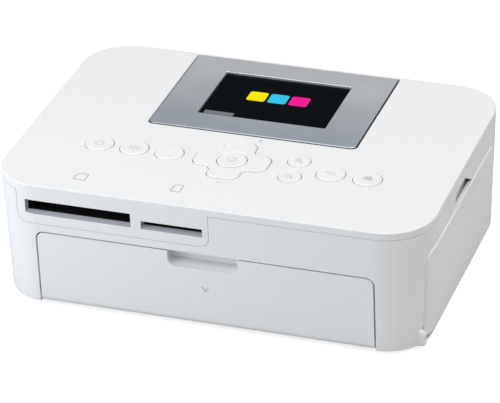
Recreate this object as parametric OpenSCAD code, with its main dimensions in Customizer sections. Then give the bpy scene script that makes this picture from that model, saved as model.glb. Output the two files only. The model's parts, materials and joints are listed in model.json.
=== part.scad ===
// Compact photo printer, millimetres, +Z up.
// The origin is on the table under the middle of the housing; the front faces -Y.

/* [Housing] */
// Width of the housing at its top
body_w = 178; // [170:1:190]
// Depth of the housing at its top
body_d = 127; // [122:1:136]
// Height of the top surface above the table
body_h = 55.5; // [54:0.5:62]
// Draft of the side walls in degrees
draft = 2; // [1:0.1:2.5]
// Plan radius of the corners
corner_r = 20; // [16:0.5:22]
// Wall thickness of the shells
wall = 2; // [1.6:0.1:2.2]
// Radius of the top edge
top_edge_r = 1.6; // [0.8:0.1:1.8]
// Radius of the bottom edge
bottom_edge_r = 3; // [2:0.1:3.4]
// Height of the upper shell's lip
lip_h = 3.3; // [2.8:0.1:4]
// Groove between the two shells
seam_gap = 0.3; // [0.2:0.05:0.5]
// Height of the housing's underside above the table
foot_h = 1.8; // [1.2:0.1:2.4]
// Radius of a rubber foot
foot_r = 5; // [4:0.5:7]

/* [Card slots] */
// From the housing's side to the left end of the apron around the card slots
apron_in = 12; // [11:0.5:14]
// Width of the apron
apron_w = 80; // [79:0.5:85]
// How far the apron's lower edge lies under the top surface
apron_drop = 17.3; // [16:0.1:17.7]
// Corner radius of the apron
apron_r = 4; // [2:0.5:5]
// Width of the large card slot
large_slot_w = 43.4; // [43:0.1:44.5]
// Height of the large card slot
large_slot_h = 5.2; // [5.1:0.1:5.4]
// From the apron's left end to the middle of the large card slot
large_slot_in = 26.3; // [26:0.1:27]
// Width of the small card slot
small_slot_w = 24.5; // [24.2:0.1:26]
// Height of the small card slot
small_slot_h = 2.6; // [2.5:0.1:2.8]
// From the middle of the large card slot to the middle of the small one
slot_pitch = 38.9; // [38.2:0.1:39.6]
// How far the slots' upper edge lies under the top surface
slot_drop = 7; // [6.8:0.1:7.4]

/* [Covers] */
// Width of the housing on each side of the front cover
cover_side = 20; // [20:0.5:24]
// How far the front cover's upper edge lies under the top surface
cover_drop = 21.3; // [20.5:0.1:22.5]
// Corner radius of the front cover
cover_r = 3; // [1:0.5:5]
// Gap around each cover
cover_gap = 0.4; // [0.3:0.05:0.6]
// Width of the finger scoop in the front cover
scoop_w = 28.8; // [24:0.2:34]
// Height of the finger scoop
scoop_h = 6.5; // [5:0.1:8]
// Depth of the finger scoop
scoop_depth = 4.6; // [4.3:0.1:5]
// From the housing's front to the front end of the side cover
side_front_in = 12.5; // [11.5:0.5:13.5]
// From the housing's back to the rear end of the side cover
side_rear_in = 21.5; // [20:0.5:23]
// How far the side cover's upper edge lies under the top surface
side_drop = 13.2; // [12.8:0.1:14]
// How far the side cover's lower edge lies over the housing's underside
side_lift = 3.2; // [3:0.1:3.6]
// How far the side cover stands proud
side_proud = 0.5; // [0.2:0.05:0.5]
// Width of the finger notch over the side cover
notch_w = 31; // [28:1:33]

/* [Display] */
// Width of the display panel
panel_w = 86.8; // [84:0.2:90]
// Depth of the display panel, front to back
panel_d = 62.7; // [60:0.1:63]
// Thickness of the display panel
panel_t = 7.3; // [7:0.1:7.6]
// Gap at the front and sides of the display panel
panel_gap = 0.7; // [0.5:0.1:0.9]
// Width of the screen opening
screen_w = 54.2; // [51:0.2:56]
// Depth of the screen opening
screen_d = 37.6; // [35:0.2:40]
// Radius of the display hinge pins
display_pin_r = 0.8; // [0.6:0.1:1]

/* [Keys] */
// Radius of a main button
button_r = 5.7; // [5:0.1:6]
// Radius of a zoom button
zoom_r = 4.5; // [4:0.1:5]
// Gap round a button
button_gap = 0.3; // [0.2:0.05:0.45]
// How far the buttons stand above the top surface
button_proud = 0.4; // [0.2:0.05:0.5]
// Travel of a button
button_travel = 0.4; // [0.3:0.05:0.6]
// Half the span of the four-way pad
pad_half = 15.2; // [14:0.1:15.6]
// Half the width of one arm of the pad
pad_arm = 6.5; // [6:0.1:6.8]

/* [Mechanism] */
// Room for the drive and the ink cassette's grip beside each side plate
drive_room = 29; // [28.5:0.5:29.5]
// Thickness of the steel plates
plate_t = 1; // [0.8:0.1:1.2]
// Room between the paper and each side plate
paper_side = 9.5; // [9:0.25:11]
// Radius of the platen roller
platen_r = 5; // [4.6:0.1:5.2]
// Radius of the grip roller
grip_r = 3.5; // [3:0.1:3.8]
// Radius of the pinch roller
pinch_r = 3; // [2.6:0.1:3.2]
// Radius of the pick-up tyres
pickup_r = 4.6; // [4.2:0.1:4.8]
// Radius of the roller shafts
shaft_r = 2; // [1.8:0.1:2.1]
// Radial running clearance of shafts
run_gap = 0.05; // [0.02:0.01:0.09]
// Module of the gears
gear_m = 0.6; // [0.58:0.01:0.61]
// Radius of the full ribbon roll
supply_roll_r = 7.2; // [6:0.1:7.3]
// Radius of the take-up roll
takeup_roll_r = 4.6; // [4.2:0.1:7.2]
// Eject stroke of the ink cassette
eject_stroke = 5; // [4:0.5:6]

/* [Hidden] */
$fn = 64;

// A cut reaches this far past the face that it opens
over = 1;

// Housing levels and faces
slope = tan(draft);
floor_z = foot_h;
floor_top = floor_z + wall;
seam_z = body_h - lip_h;
lower_top = seam_z - seam_gap;
roof_z = body_h - wall;
corner_x = body_w / 2 - corner_r;
corner_y = body_d / 2 - corner_r;
function half_w(z) = body_w / 2 - slope * (body_h - z);
function half_d(z) = body_d / 2 - slope * (body_h - z);
white = [0.95, 0.95, 0.96];
light_grey = [0.8, 0.8, 0.82];
silver = [0.68, 0.69, 0.71];
steel = [0.75, 0.76, 0.78];
black = [0.06, 0.06, 0.07];
rubber_black = [0.1, 0.1, 0.1];
board_green = [0.1, 0.35, 0.2];
nylon = [0.88, 0.88, 0.84];
brass_colour = [0.78, 0.62, 0.3];

// Apron and card slots; the small slot lies lower than the large one
apron_left = apron_in - body_w / 2;
apron_right = apron_left + apron_w;
apron_z = body_h - apron_drop;
large_slot_x = apron_left + large_slot_in;
small_slot_x = large_slot_x + slot_pitch;
slot_top = body_h - slot_drop;
small_slot_top = slot_top - 2.6;
slot_floor = slot_top - large_slot_h;
socket_front = -(body_d / 2 - 3.4);
socket_wall = 0.5;
small_socket_d = 26;
slot_lead_d = 2.4;
slot_lead = 0.6;

// Covers
cover_w = body_w - 2 * cover_side;
cover_top = body_h - cover_drop;
side_front = side_front_in - body_d / 2;
side_rear = body_d / 2 - side_rear_in;
side_top = body_h - side_drop;
side_bottom = floor_z + side_lift;

// Front cover hinge
cover_axis_y = -(body_d / 2 - 4.5);
cover_axis_z = floor_z + 3;
cover_knuckle_r = 2.4;
hinge_pin_r = 1.4;
cover_sweep_r = 4.4;
lug_t = 3;

// Side cover hinge
side_axis_x = half_w(floor_z) - 2.1;
side_axis_z = floor_z + 4.8;
side_knuckle_r = 1.7;
side_lug_r = 2.3;
side_lug_t = 3.8;
side_pin_reach = 3.2;
side_sweep_r = 3.6;
side_corner_r = 4;
side_play = 0.3;
side_lug_at = [side_front - side_play - side_lug_t, side_rear + side_play];

// Finger notch in the side wall, above the side cover
notch_y = -2.3;
notch_low = side_top - 2;
notch_top = side_top + 6.5;
notch_depth = 5.2;
notch_back = 1.2;
notch_front_slant = 4;
notch_rear_slant = 14;
notch_step = 3.4;
notch_floor = side_top - 1;
notch_floor_t = 1.4;
notch_in = half_w(side_top) - wall - notch_depth + 0.8;

// Display panel: its middle, its levels and its hinge
panel_rear_in = 2;
panel_y = body_d / 2 - panel_rear_in - panel_d / 2;
panel_proud = 0.2;
panel_top = body_h + panel_proud;
panel_bottom = panel_top - panel_t;
panel_front = panel_y - panel_d / 2;
panel_r = 2;
panel_edge_r = 1.1;
panel_wall = 1.5;
frame_t = 1.7;
window_t = 1;
window_lap = 2;
tub_wall = 1.5;
tub_floor = 1.2;
tub_z = panel_bottom - 1.3;
tilt_axis_y = panel_front + 3;
tilt_axis_z = panel_top - 2.8;
screen_y = panel_y + 0.4;

// Keys: the row's line, the pad's middle, and each button as [x, y, radius]
row_y = panel_front - 22.6;
power_at = [-55.9, row_y, button_r];
menu_at = [-41.2, row_y, button_r];
edit_at = [-26.4, row_y, button_r];
back_at = [40.5, row_y, button_r];
print_at = [55.5, row_y, button_r];
zoom_in_at = [25.4, row_y + 6.9, zoom_r];
zoom_out_at = [25.6, row_y - 6.1, zoom_r];
pad_at = [-0.4, row_y + 0.5];
ok_r = 5.9;
ok_gap = 0.5;
buttons_at = [power_at, menu_at, edit_at, back_at, print_at, zoom_in_at, zoom_out_at];
button_flange = 0.9;
pad_fillet = 3;
pad_gap = 0.4;

// Keypad board, hanging from bosses of the upper shell
keypad_t = 1.2;
keypad_top = roof_z - 3.9;
keypad_z = keypad_top - keypad_t;
switch_h = 1.3;
actuator_h = 0.2;
stem_z = keypad_top + switch_h + actuator_h + button_travel + 0.05;
flange_z = stem_z + 0.35;
flange_t = 0.9;
pad_switch_r = 11.9;
pad_switches = [for (a = [0 : 90 : 270]) pad_at + pad_switch_r * [cos(a), sin(a)]];
ring_in = 6.9;
ring_out = 9.3;
ring_mid = (ring_in + ring_out) / 2;
ring_z = keypad_top + 0.7;
ring_top = flange_z - 0.5;
keypad_half = 66;
keypad_front = row_y - 7.7;
keypad_rear = panel_front - panel_gap - tub_wall - 1.2;
keypad_tab = [[-24, row_y - 18.2], [26, row_y - 6.2]];
boss_row = keypad_rear - 4.4;
boss_row_front = row_y - 14.7;
keypad_bosses = [[-62, boss_row], [-33.7, boss_row], [33.5, boss_row], [62, boss_row],
                 [-20.5, boss_row_front], [20.5, boss_row_front]];
keypad_boss_r = 2.2;
large_socket_d = keypad_front - 1.6 - socket_front;

// Mechanism levels, counted down from the large card slot, whose socket stands on the main board
board_t = 1.2;
board_z = slot_floor - socket_wall - board_t;
spool_z = board_z - 11.6;
paper_z = spool_z - 9.7;
platen_z = paper_z - platen_r;
grip_z = paper_z - grip_r;
pinch_z = paper_z + pinch_r + 0.15;
pickup_z = paper_z - 4.3;

// Side plates
plate_x = body_w / 2 - drive_room;
plate_out = plate_x + plate_t;
plate_front = 8.5 - body_d / 2;
plate_rear = body_d / 2 - 13.5;
paper_w = 2 * (plate_x - paper_side);

// Mechanism axes, front to back
pickup_y = -24;
platen_y = -6;
grip_y = 36;
takeup_y = plate_front + 23;
cam_y = plate_rear - 6.5;
pivot_y = cam_y - 12;
supply_y = (pivot_y + platen_y) / 2 + 5.75;
pivot_z = spool_z + 8.5;
cam_z = pivot_z - 5;
shaft_end = plate_out + 1.5;
bush_r = 3.2;
pinch_shaft_r = 1.5;
pinch_bush_r = 2.6;
rod_r = 1.9;
foot_boss_h = 4;
foot_boss_r = 3;

// Rubber feet, as [x, y]
foot_at = [for (sx = [-1, 1], sy = [-1, 1]) [sx * (corner_x + 1), sy * (corner_y + 1)]];
foot_seat = 0.8;
flange_y = [plate_front + 22, plate_rear - 11];
flange_len = 10;
flange_out = 8;
pilot_r = 1.1;

// Gear plate and the two layers of gears outside it
gear_plate_x = -plate_out - 13;
gear_w = 3;
layer_a = gear_plate_x - plate_t - 0.6 - gear_w;
layer_b = layer_a - 0.6 - gear_w;
stud_r = 1.5;
post_r = 2.2;
post_at = [[plate_front + 4, floor_top + 8.2], [26, floor_top + 4.7],
           [plate_front + 5, board_z - 3.8], [plate_rear - 5, spool_z - 5]];
motor_shaft_r = 1;
feed_motor_r = 9.8;
ribbon_motor_r = 6;
motor_collar_r = 2.9;

// Teeth
pinion_teeth = 14;
small_teeth = 14;
large_teeth = 44;
grip_teeth = 34;
idler_teeth = 40;
pickup_teeth = 22;
hub_teeth = 36;
function pitch_r(teeth) = gear_m * teeth / 2;

// Where two circles about a and b meet, on the left of the way from a to b when side is 1
function meet(a, ra, b, rb, side) =
    let (d = norm(b - a), u = (b - a) / d, along = (d * d + ra * ra - rb * rb) / (2 * d),
         across = sqrt(ra * ra - along * along))
    a + along * u + side * across * [-u[1], u[0]];

// Gear axes as [y, z]
grip_at = [grip_y, grip_z];
pickup_at = [pickup_y, pickup_z];
takeup_at = [takeup_y, spool_z];
supply_at = [supply_y, spool_z];
reduction_at = grip_at + (pitch_r(small_teeth) + pitch_r(grip_teeth)) * [cos(145), sin(145)];
motor_at = reduction_at + (pitch_r(pinion_teeth) + pitch_r(large_teeth)) * [cos(195), sin(195)];
idler_at = meet(motor_at, pitch_r(pinion_teeth) + pitch_r(idler_teeth),
                pickup_at, pitch_r(idler_teeth) + pitch_r(pickup_teeth), -1);
ribbon_motor_at = takeup_at - [pitch_r(pinion_teeth) + pitch_r(hub_teeth), 0];

// The angle that puts a gear of n2 teeth in mesh with one of n1 teeth turned by turn1,
// where the second gear lies in the direction way from the first
function mesh_turn(way, n1, turn1, n2) = way + 180 - (180 - (way - turn1) * n1) / n2;
function way_to(a, b) = atan2(b[1] - a[1], b[0] - a[0]);
small_turn = mesh_turn(way_to(grip_at, reduction_at), grip_teeth, 0, small_teeth);
motor_turn = mesh_turn(way_to(reduction_at, motor_at), large_teeth, small_turn, pinion_teeth);
idler_turn = mesh_turn(way_to(motor_at, idler_at), pinion_teeth, motor_turn, idler_teeth);
pickup_turn = mesh_turn(way_to(idler_at, pickup_at), idler_teeth, idler_turn, pickup_teeth);
ribbon_turn = mesh_turn(180, hub_teeth, 0, pinion_teeth);

// Ink cassette
case_left = -plate_x + 2.5;
case_right = plate_x + 0.5;
chamber_r = 8.4;
chamber_bore = 7.7;
chamber_floor = spool_z - chamber_r;
end_wall = 2;
spool_r = 3.2;
socket_r = 2.2;
spigot_r = 1.9;
roll_half = paper_w / 2 + 1;
film_z = paper_z + 2.35;
film_t = 0.12;
rail_top = film_z + 1.95;
grip_plate_t = 2.5;

// Eject lever
lug_x = plate_out + 4;
lever_tip_r = 1;
lever_x = lug_x - lever_tip_r + eject_stroke;
lever_y = takeup_y - 19.5;
lever_z = spool_z - 2.5;
lever_t = 5;

// Thermal head
head_front = platen_y - 8;
head_back = platen_y + 10;
tail_x = paper_w / 2 - 3.5;
head_bottom = rail_top + 0.4;
head_t = 1.5;
head_fall = 2;
sink_top = spool_z + 8;
arm_z = pivot_z + 0.9;
arm_t = 1;
cam_rest_r = 3.9;
cam_lift = 0.523;
cam_gap = 0.2;

// Rear slots and sockets
exit_w = paper_w + 7;
exit_z = paper_z - 3.3;
exit_h = 8;
usb_w = 12;
usb_h = 10.8;
usb_x = 14 - plate_x;
inlet_r = 4.2;
inlet_x = usb_x + 22;
vent_count = 9;
vent_w = 2;
vent_pitch = 4.5;
vent_left = inlet_x + 29;
vent_z = lower_top - 20.9;
vent_h = 10;

// Screw bosses that join the two shells, as [x, y]
boss_r = 3;
shell_boss_x = half_w(seam_z) - wall - boss_r - 0.3;
shell_bosses = [for (sx = [-1, 1], y = [33.5 - body_d / 2, body_d / 2 - 23.5]) [sx * shell_boss_x, y]];
shell_boss_z = seam_z - 8.2;
shell_boss_top = seam_z - 4.2;

// Extrude an outline drawn in Y and Z from x0 to x1
module along_x(x0, x1) translate([x0, 0, 0]) rotate([90, 0, 90]) linear_extrude(x1 - x0) children();
// Extrude an outline drawn in X and Z from y0 to y1
module along_y(y0, y1) translate([0, y1, 0]) rotate([90, 0, 0]) linear_extrude(y1 - y0) children();
// Extrude an outline drawn in X and Y from z0 to z1
module along_z(z0, z1) translate([0, 0, z0]) linear_extrude(z1 - z0) children();
// Straight round bar along X at [y, z]
module bar_x(x0, x1, at, r) translate([x0, at[0], at[1]]) rotate([0, 90, 0]) cylinder(h = x1 - x0, r = r);
// Straight round bar along Y at [x, z]
module bar_y(y0, y1, at, r) translate([at[0], y1, at[1]]) rotate([90, 0, 0]) cylinder(h = y1 - y0, r = r);
// Straight round bar along Z at [x, y]
module bar_z(z0, z1, at, r) translate([at[0], at[1], z0]) cylinder(h = z1 - z0, r = r);
// Box between two corners
module block(low, high) translate(low) cube(high - low);

// Rectangle between two corners with rounded corners
module round_rect(low, high, r) {
    translate([low[0] + r, low[1]]) square([high[0] - low[0] - 2 * r, high[1] - low[1]]);
    translate([low[0], low[1] + r]) square([high[0] - low[0], high[1] - low[1] - 2 * r]);
    for (x = [low[0] + r, high[0] - r], y = [low[1] + r, high[1] - r])
        translate([x, y]) circle(r);
}

// Half profile of the drafted wall, measured out from a corner's axis
module wall_profile(inset, z0, z1, top_r, bottom_r) {
    lean = [cos(draft), -sin(draft)];
    reach0 = corner_r - inset - slope * (body_h - z0);
    reach1 = corner_r - inset - slope * (body_h - z1);
    top_c = [reach1 - top_r / cos(draft) - slope * top_r * (1 - 1 / cos(draft)), z1 - top_r];
    low_c = [reach0 - bottom_r / cos(draft) + slope * bottom_r, z0 + bottom_r];
    upper = top_r > 0 ? [top_c + top_r * lean, top_c, [top_c[0], z1]] : [[reach1, z1]];
    lower = bottom_r > 0 ? [[low_c[0], z0], low_c, low_c + bottom_r * lean] : [[reach0, z0]];
    polygon(concat([[0, z0]], lower, upper, [[0, z1]]));
    if (top_r > 0) translate(top_c) circle(top_r);
    if (bottom_r > 0) translate(low_c) circle(bottom_r);
}

// The housing's outer form, drawn in by inset, between two levels
module housing_form(inset, z0, z1, top_r = 0, bottom_r = 0) {
    for (sx = [-1, 1], sy = [-1, 1])
        translate([sx * corner_x, sy * corner_y, 0])
            rotate_extrude() wall_profile(inset, z0, z1, top_r, bottom_r);
    along_y(-corner_y, corner_y) across_profile(corner_x, inset, z0, z1, top_r, bottom_r);
    along_x(-corner_x, corner_x) across_profile(corner_y, inset, z0, z1, top_r, bottom_r);
}

module across_profile(half, inset, z0, z1, top_r, bottom_r) {
    translate([-half, z0]) square([2 * half, z1 - z0]);
    translate([half, 0]) wall_profile(inset, z0, z1, top_r, bottom_r);
    mirror([1, 0]) translate([half, 0]) wall_profile(inset, z0, z1, top_r, bottom_r);
}

// The skin of the housing between two insets and two levels
module skin(outer, inner, z0, z1) difference() {
    housing_form(outer, z0, z1, 0, z0 == floor_z ? bottom_edge_r : 0);
    housing_form(inner, z0 - over, z1 + over);
}

// Outline of the apron in X and Z, grown by grow
module apron_outline(grow) {
    low = [apron_left - grow, apron_z - grow];
    round_rect(low, [apron_right + grow, seam_z + 4 * apron_r], apron_r + grow);
}

// Outline of the four-way pad about its middle, grown by grow
module pad_outline(grow) {
    arm = pad_arm + grow;
    end = pad_half + grow;
    inner = pad_arm + pad_fillet;
    corner = min(pad_half - inner, pad_arm) + grow;
    round_rect([-end, -arm], [end, arm], corner);
    round_rect([-arm, -end], [arm, end], corner);
    difference() {
        square(2 * inner, center = true);
        for (x = [-inner, inner], y = [-inner, inner])
            translate([x, y]) circle(pad_fillet - grow);
    }
}

// Card slot: a straight throat, and a lead-in that widens it at the face and at the left
module slot_cut(x, w, top, h) {
    face = body_d / 2 + over;
    block([x - w / 2, -face, top - h], [x + w / 2, socket_front + over, top]);
    along_x(x - w / 2 - slot_lead, x + w / 2) polygon([[-face, top], [-face, top - h - 1.1],
        [slot_lead_d - body_d / 2, top - h], [slot_lead_d - body_d / 2, top]]);
}

// Block behind the apron that carries a card slot
module slot_frame(x, w, top, h) block(
    [x - w / 2 - 1.4, -half_d(top - h) + 1.2, top - h - 0.9],
    [x + w / 2 + 1.4, socket_front, top + 0.9]);

module display_tub() {
    half = panel_w / 2 + panel_gap + tub_wall;
    intersection() {
        block([-half, panel_front - panel_gap - tub_wall, tub_z - tub_floor], [half, body_d, roof_z + 0.5]);
        housing_form(0, tub_z - tub_floor - over, body_h);
    }
    for (s = [-1, 1])
        translate([s * (half + 0.5), tilt_axis_y, tilt_axis_z - 2.6])
            cube([3, 5, 6], center = true);
}

module upper_shell() color(white) {
    difference() {
        union() {
            intersection() {
                difference() {
                    housing_form(0, apron_z - over, body_h, top_edge_r);
                    housing_form(wall, apron_z - 2 * over, roof_z);
                }
                union() {
                    block([-body_w, -body_d, seam_z], [body_w, body_d, body_h + over]);
                    along_y(-body_d, 0) apron_outline(0);
                }
            }
            slot_frame(large_slot_x, large_slot_w, slot_top, large_slot_h);
            slot_frame(small_slot_x, small_slot_w, small_slot_top, small_slot_h);
            display_tub();
            for (p = keypad_bosses) bar_z(keypad_top, roof_z + 0.5, p, keypad_boss_r);
            for (p = shell_bosses) bar_z(shell_boss_top, roof_z + 0.5, p, boss_r);
        }
        display_recess();
        slot_cut(large_slot_x, large_slot_w, slot_top, large_slot_h);
        slot_cut(small_slot_x, small_slot_w, small_slot_top, small_slot_h);
        for (b = buttons_at) bar_z(seam_z, body_h + over, b, b[2] + button_gap);
        translate([pad_at[0], pad_at[1], 0]) along_z(seam_z, body_h + over) pad_outline(pad_gap);
        for (p = keypad_bosses) bar_z(keypad_top - over, roof_z - 0.5, p, 0.8);
        for (p = shell_bosses) bar_z(shell_boss_top - over, roof_z - 0.5, p, pilot_r);
        bar_x(-panel_w / 2 - 4.5, panel_w / 2 + 4.5, [tilt_axis_y, tilt_axis_z], display_pin_r);
    }
    for (s = [-1, 1])
        block([s * 36 - 3, panel_y + 24, tub_z - 0.1], [s * 36 + 3, panel_y + 28, panel_bottom - 0.1]);
}

module display_recess() {
    half = panel_w / 2 + panel_gap;
    along_z(tub_z, body_h + over)
        round_rect([-half, panel_front - panel_gap], [half, panel_front + panel_d + 0.4], panel_r - 0.5);
}

module lower_shell() color(white) {
    difference() {
        union() {
            difference() {
                lower_form();
                housing_form(wall, floor_top, body_h);
                lower_openings();
            }
            intersection() {
                lower_form();
                lower_inner_parts();
            }
            for (y = side_lug_at) {
                bar_y(y, y + side_lug_t, [side_axis_x, side_axis_z], side_lug_r);
                block([side_axis_x - side_lug_r, y, floor_top - 0.5],
                      [side_axis_x + side_lug_r - 0.9, y + side_lug_t, side_axis_z]);
            }
        }
        lower_holes();
    }
    bar_z(floor_top - 0.1, lever_z - 0.1, [lever_x, lever_y], 3);
    bar_z(lever_z - 0.2, lever_z + lever_t + 1, [lever_x, lever_y], stud_r);
}

module lower_form() housing_form(0, floor_z, lower_top, 0, bottom_edge_r);

module lower_inner_parts() {
    for (s = [-1, 1])
        translate([s * (cover_w / 2 + cover_gap + lug_t / 2), cover_axis_y + 1, cover_axis_z + 1])
            cube([lug_t, 9, 9], center = true);
    for (s = [-1, 1], y = flange_y)
        bar_z(floor_top - 0.1, floor_top + foot_boss_h, [s * (plate_out + flange_out / 2), y], foot_boss_r);
    for (p = shell_bosses) bar_z(shell_boss_z, shell_boss_top, p, boss_r + 0.8);
    // Walls of the finger notch, and its floor behind the side cover's upper edge
    difference() {
        union() {
            block([notch_in, notch_y - notch_w / 2 - notch_back, side_top + cover_gap],
                  [body_w / 2, notch_y + notch_w / 2 + notch_back, notch_top + 1]);
            block([notch_in, notch_y - notch_w / 2 - notch_back, notch_floor - notch_floor_t],
                  [half_w(side_top) - wall + 0.3 - cover_gap, notch_y + notch_w / 2 + notch_back, side_top + 1]);
        }
        finger_notch();
    }
}

// Openings in the walls and the floor
module lower_openings() {
    // Bay behind the front cover, and the room in which the cover's lower edge swings
    along_y(-body_d, cover_axis_y + 4) front_opening(cover_gap);
    bar_x(-cover_w / 2 - cover_gap, cover_w / 2 + cover_gap, [cover_axis_y, cover_axis_z], cover_sweep_r);
    // Side opening, and the room in which the side cover's lower edge swings
    along_x(corner_x, body_w) side_outline(cover_gap);
    bar_y(side_front - side_play, side_rear + side_play, [side_axis_x, side_axis_z], side_sweep_r);
    finger_notch();
    // Room for the apron and for the display tub
    along_y(-body_d, socket_front + 1.6) apron_outline(seam_gap);
    block([-panel_w / 2 - panel_gap - tub_wall - seam_gap, body_d / 2 - 8, tub_z - tub_floor - seam_gap],
          [panel_w / 2 + panel_gap + tub_wall + seam_gap, body_d, body_h]);
    // Rear: paper slot, sockets and vents
    along_y(body_d / 2 - 6, body_d)
        round_rect([-exit_w / 2, exit_z], [exit_w / 2, exit_z + exit_h], 1.5);
    along_y(body_d / 2 - 6, body_d)
        round_rect([usb_x - usb_w / 2 - 0.3, board_z - usb_h - 0.3], [usb_x + usb_w / 2 + 0.3, board_z + 0.3], 0.8);
    bar_y(body_d / 2 - 6, body_d, [inlet_x, board_z - inlet_r - 1], inlet_r + 0.3);
    for (i = [0 : vent_count - 1]) {
        x = vent_left + i * vent_pitch;
        along_y(body_d / 2 - 6, body_d) round_rect([x, vent_z], [x + vent_w, vent_z + vent_h], 0.99 * vent_w / 2);
    }
}
// Holes for hinge pins, feet and screws
module lower_holes() {
    for (s = [-1, 1])
        bar_x(s * (cover_w / 2 + 2.5) - 3.5, s * (cover_w / 2 + 2.5) + 3.5,
              [cover_axis_y, cover_axis_z], hinge_pin_r + run_gap);
    bar_y(side_front - side_pin_reach - 0.2, side_rear + side_pin_reach + 0.2,
          [side_axis_x, side_axis_z], hinge_pin_r + run_gap);
    for (p = foot_at) bar_z(floor_z - over, floor_z + foot_seat, p, foot_r);
    for (s = [-1, 1], y = flange_y)
        bar_z(floor_top - 0.5, body_h, [s * (plate_out + flange_out / 2), y], pilot_r);
    for (p = shell_bosses) bar_z(shell_boss_z - over, body_h, p, pilot_r + 0.3);
}

// Opening that the front cover fills, with its upper corners rounded
module front_opening(grow) {
    half = cover_w / 2 + grow;
    round_rect([-half, -2 * cover_r - 9], [half, cover_top + grow], cover_r + grow);
}

// Opening that the side cover fills, drawn in Y and Z
module side_outline(grow) {
    low = [side_front - grow, side_bottom - grow];
    high = [side_rear + grow, side_top + grow];
    r = side_corner_r + grow;
    translate([low[0], low[1]]) square([high[0] - low[0], high[1] - low[1] - r]);
    translate([low[0] + r, low[1]]) square([high[0] - low[0] - 2 * r, high[1] - low[1]]);
    for (y = [low[0] + r, high[0] - r]) translate([y, high[1] - r]) circle(r);
}

// Scoop above the side cover: it deepens downwards, so a finger gets behind the cover's edge
module finger_notch() {
    wide = notch_w / 2;
    x_top = half_w(notch_top);
    intersection() {
        along_y(notch_y - wide, notch_y + wide)
            polygon([[x_top - notch_depth, notch_floor], [x_top - notch_depth, side_top + notch_step],
                     [x_top - 0.4, notch_top], [body_w, notch_top], [body_w, notch_floor]]);
        along_x(corner_x, body_w) polygon([
            [notch_y - wide, notch_low], [notch_y - wide + notch_front_slant, notch_top],
            [notch_y + wide - notch_rear_slant, notch_top], [notch_y + wide, notch_low]]);
    }
}

module front_cover() color(white) difference() {
    union() {
        intersection() {
            skin(0, wall, floor_z, cover_top + over);
            along_y(-body_d, 0) front_outline();
        }
        bar_x(-cover_w / 2, cover_w / 2, [cover_axis_y, cover_axis_z], cover_knuckle_r);
        bar_x(-cover_w / 2 - lug_t, cover_w / 2 + lug_t, [cover_axis_y, cover_axis_z], hinge_pin_r);
        along_y(-half_d(cover_top) + 0.6, -half_d(cover_top) + scoop_depth + 1.4)
            round_rect([-scoop_w / 2 - 1.4, cover_top - scoop_h - 1.4], [scoop_w / 2 + 1.4, cover_top], 1.2);
    }
    scoop_cut();
    chevron();
}

module front_outline() {
    half = cover_w / 2;
    round_rect([-half, -2 * cover_r], [half, cover_top], cover_r);
}

// The scoop's floor rises towards the top, and its sides are rounded
module scoop_cut() {
    face = -half_d(cover_top);
    intersection() {
        along_y(-body_d, 0)
            round_rect([-scoop_w / 2, cover_top - scoop_h], [scoop_w / 2, cover_top + 2 * scoop_h], 3);
        along_x(-scoop_w, scoop_w) polygon([[-body_d, cover_top - 2 * scoop_h], [face + 1, cover_top - scoop_h - 0.6],
            [face + scoop_depth, cover_top - scoop_h + 2], [face + scoop_depth, cover_top + 5],
            [-body_d, cover_top + 5]]);
    }
}

// Sunk chevron that says which way the front cover opens
module chevron() translate([0.6, 0, cover_top - 17]) along_y(-body_d, -half_d(cover_top - 16.2) + 0.25)
    polygon([[-1.5, 2.6], [-1.5, 2.1], [0, 0], [1.5, 2.1], [1.5, 2.6], [0, 0.7]]);

module side_cover() color(white) difference() {
    union() {
        intersection() {
            skin(-side_proud, wall - 0.3, side_bottom - over, side_top + over);
            along_x(corner_x, body_w) side_outline(0);
        }
        bar_y(side_front, side_rear, [side_axis_x, side_axis_z], side_knuckle_r);
        bar_y(side_front - side_pin_reach, side_rear + side_pin_reach,
              [side_axis_x, side_axis_z], hinge_pin_r);
    }
    side_mark();
}

// Sunk mark on the side cover that shows where it is pulled
module side_mark() {
    mark_z = side_top - 6.3;
    along_x(half_w(mark_z) + side_proud - 0.25, body_w) translate([notch_y - 3.9, mark_z]) difference() {
        circle(2.6);
        circle(2);
    }
}

// Outline of the display panel, drawn in by inset
module panel_outline(inset) {
    half = panel_w / 2 - inset;
    round_rect([-half, panel_front + inset], [half, panel_front + panel_d - inset], max(panel_r - inset, 0.4));
}

// The tray's front lower edge is cut back so that it clears the tub as it tilts
module lcd_tray() color(light_grey) difference() {
    along_z(panel_bottom, panel_top - frame_t) panel_outline(0);
    along_z(panel_bottom + panel_wall, panel_top) panel_outline(panel_wall);
    for (s = [-1, 1])
        bar_x(s * panel_w / 2 - 2, s * panel_w / 2 + 2, [tilt_axis_y, tilt_axis_z], display_pin_r + run_gap);
}

module lcd_frame() color(silver) {
    bevel_y = panel_front + panel_edge_r;
    bevel_z = panel_top - panel_edge_r;
    difference() {
        along_z(panel_top - frame_t, panel_top) panel_outline(0);
        along_z(panel_top - frame_t - over, panel_top + over)
            round_rect([-screen_w / 2, screen_y - screen_d / 2], [screen_w / 2, screen_y + screen_d / 2], 0.6);
        along_z(panel_top - frame_t - over, panel_top - frame_t + window_t - 0.3) window_outline(0.1);
        // Rounded front edge
        difference() {
            block([-panel_w, panel_front - over, bevel_z], [panel_w, bevel_y, panel_top + over]);
            bar_x(-panel_w, panel_w, [bevel_y, bevel_z], panel_edge_r);
        }
    }
}

module window_outline(grow) {
    half_x = screen_w / 2 + window_lap + grow;
    half_y = screen_d / 2 + window_lap + grow;
    round_rect([-half_x, screen_y - half_y], [half_x, screen_y + half_y], 1);
}

module lcd_window() color(black)
    along_z(panel_top - frame_t - 0.3, panel_top - frame_t + window_t - 0.3) window_outline(0);

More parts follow.
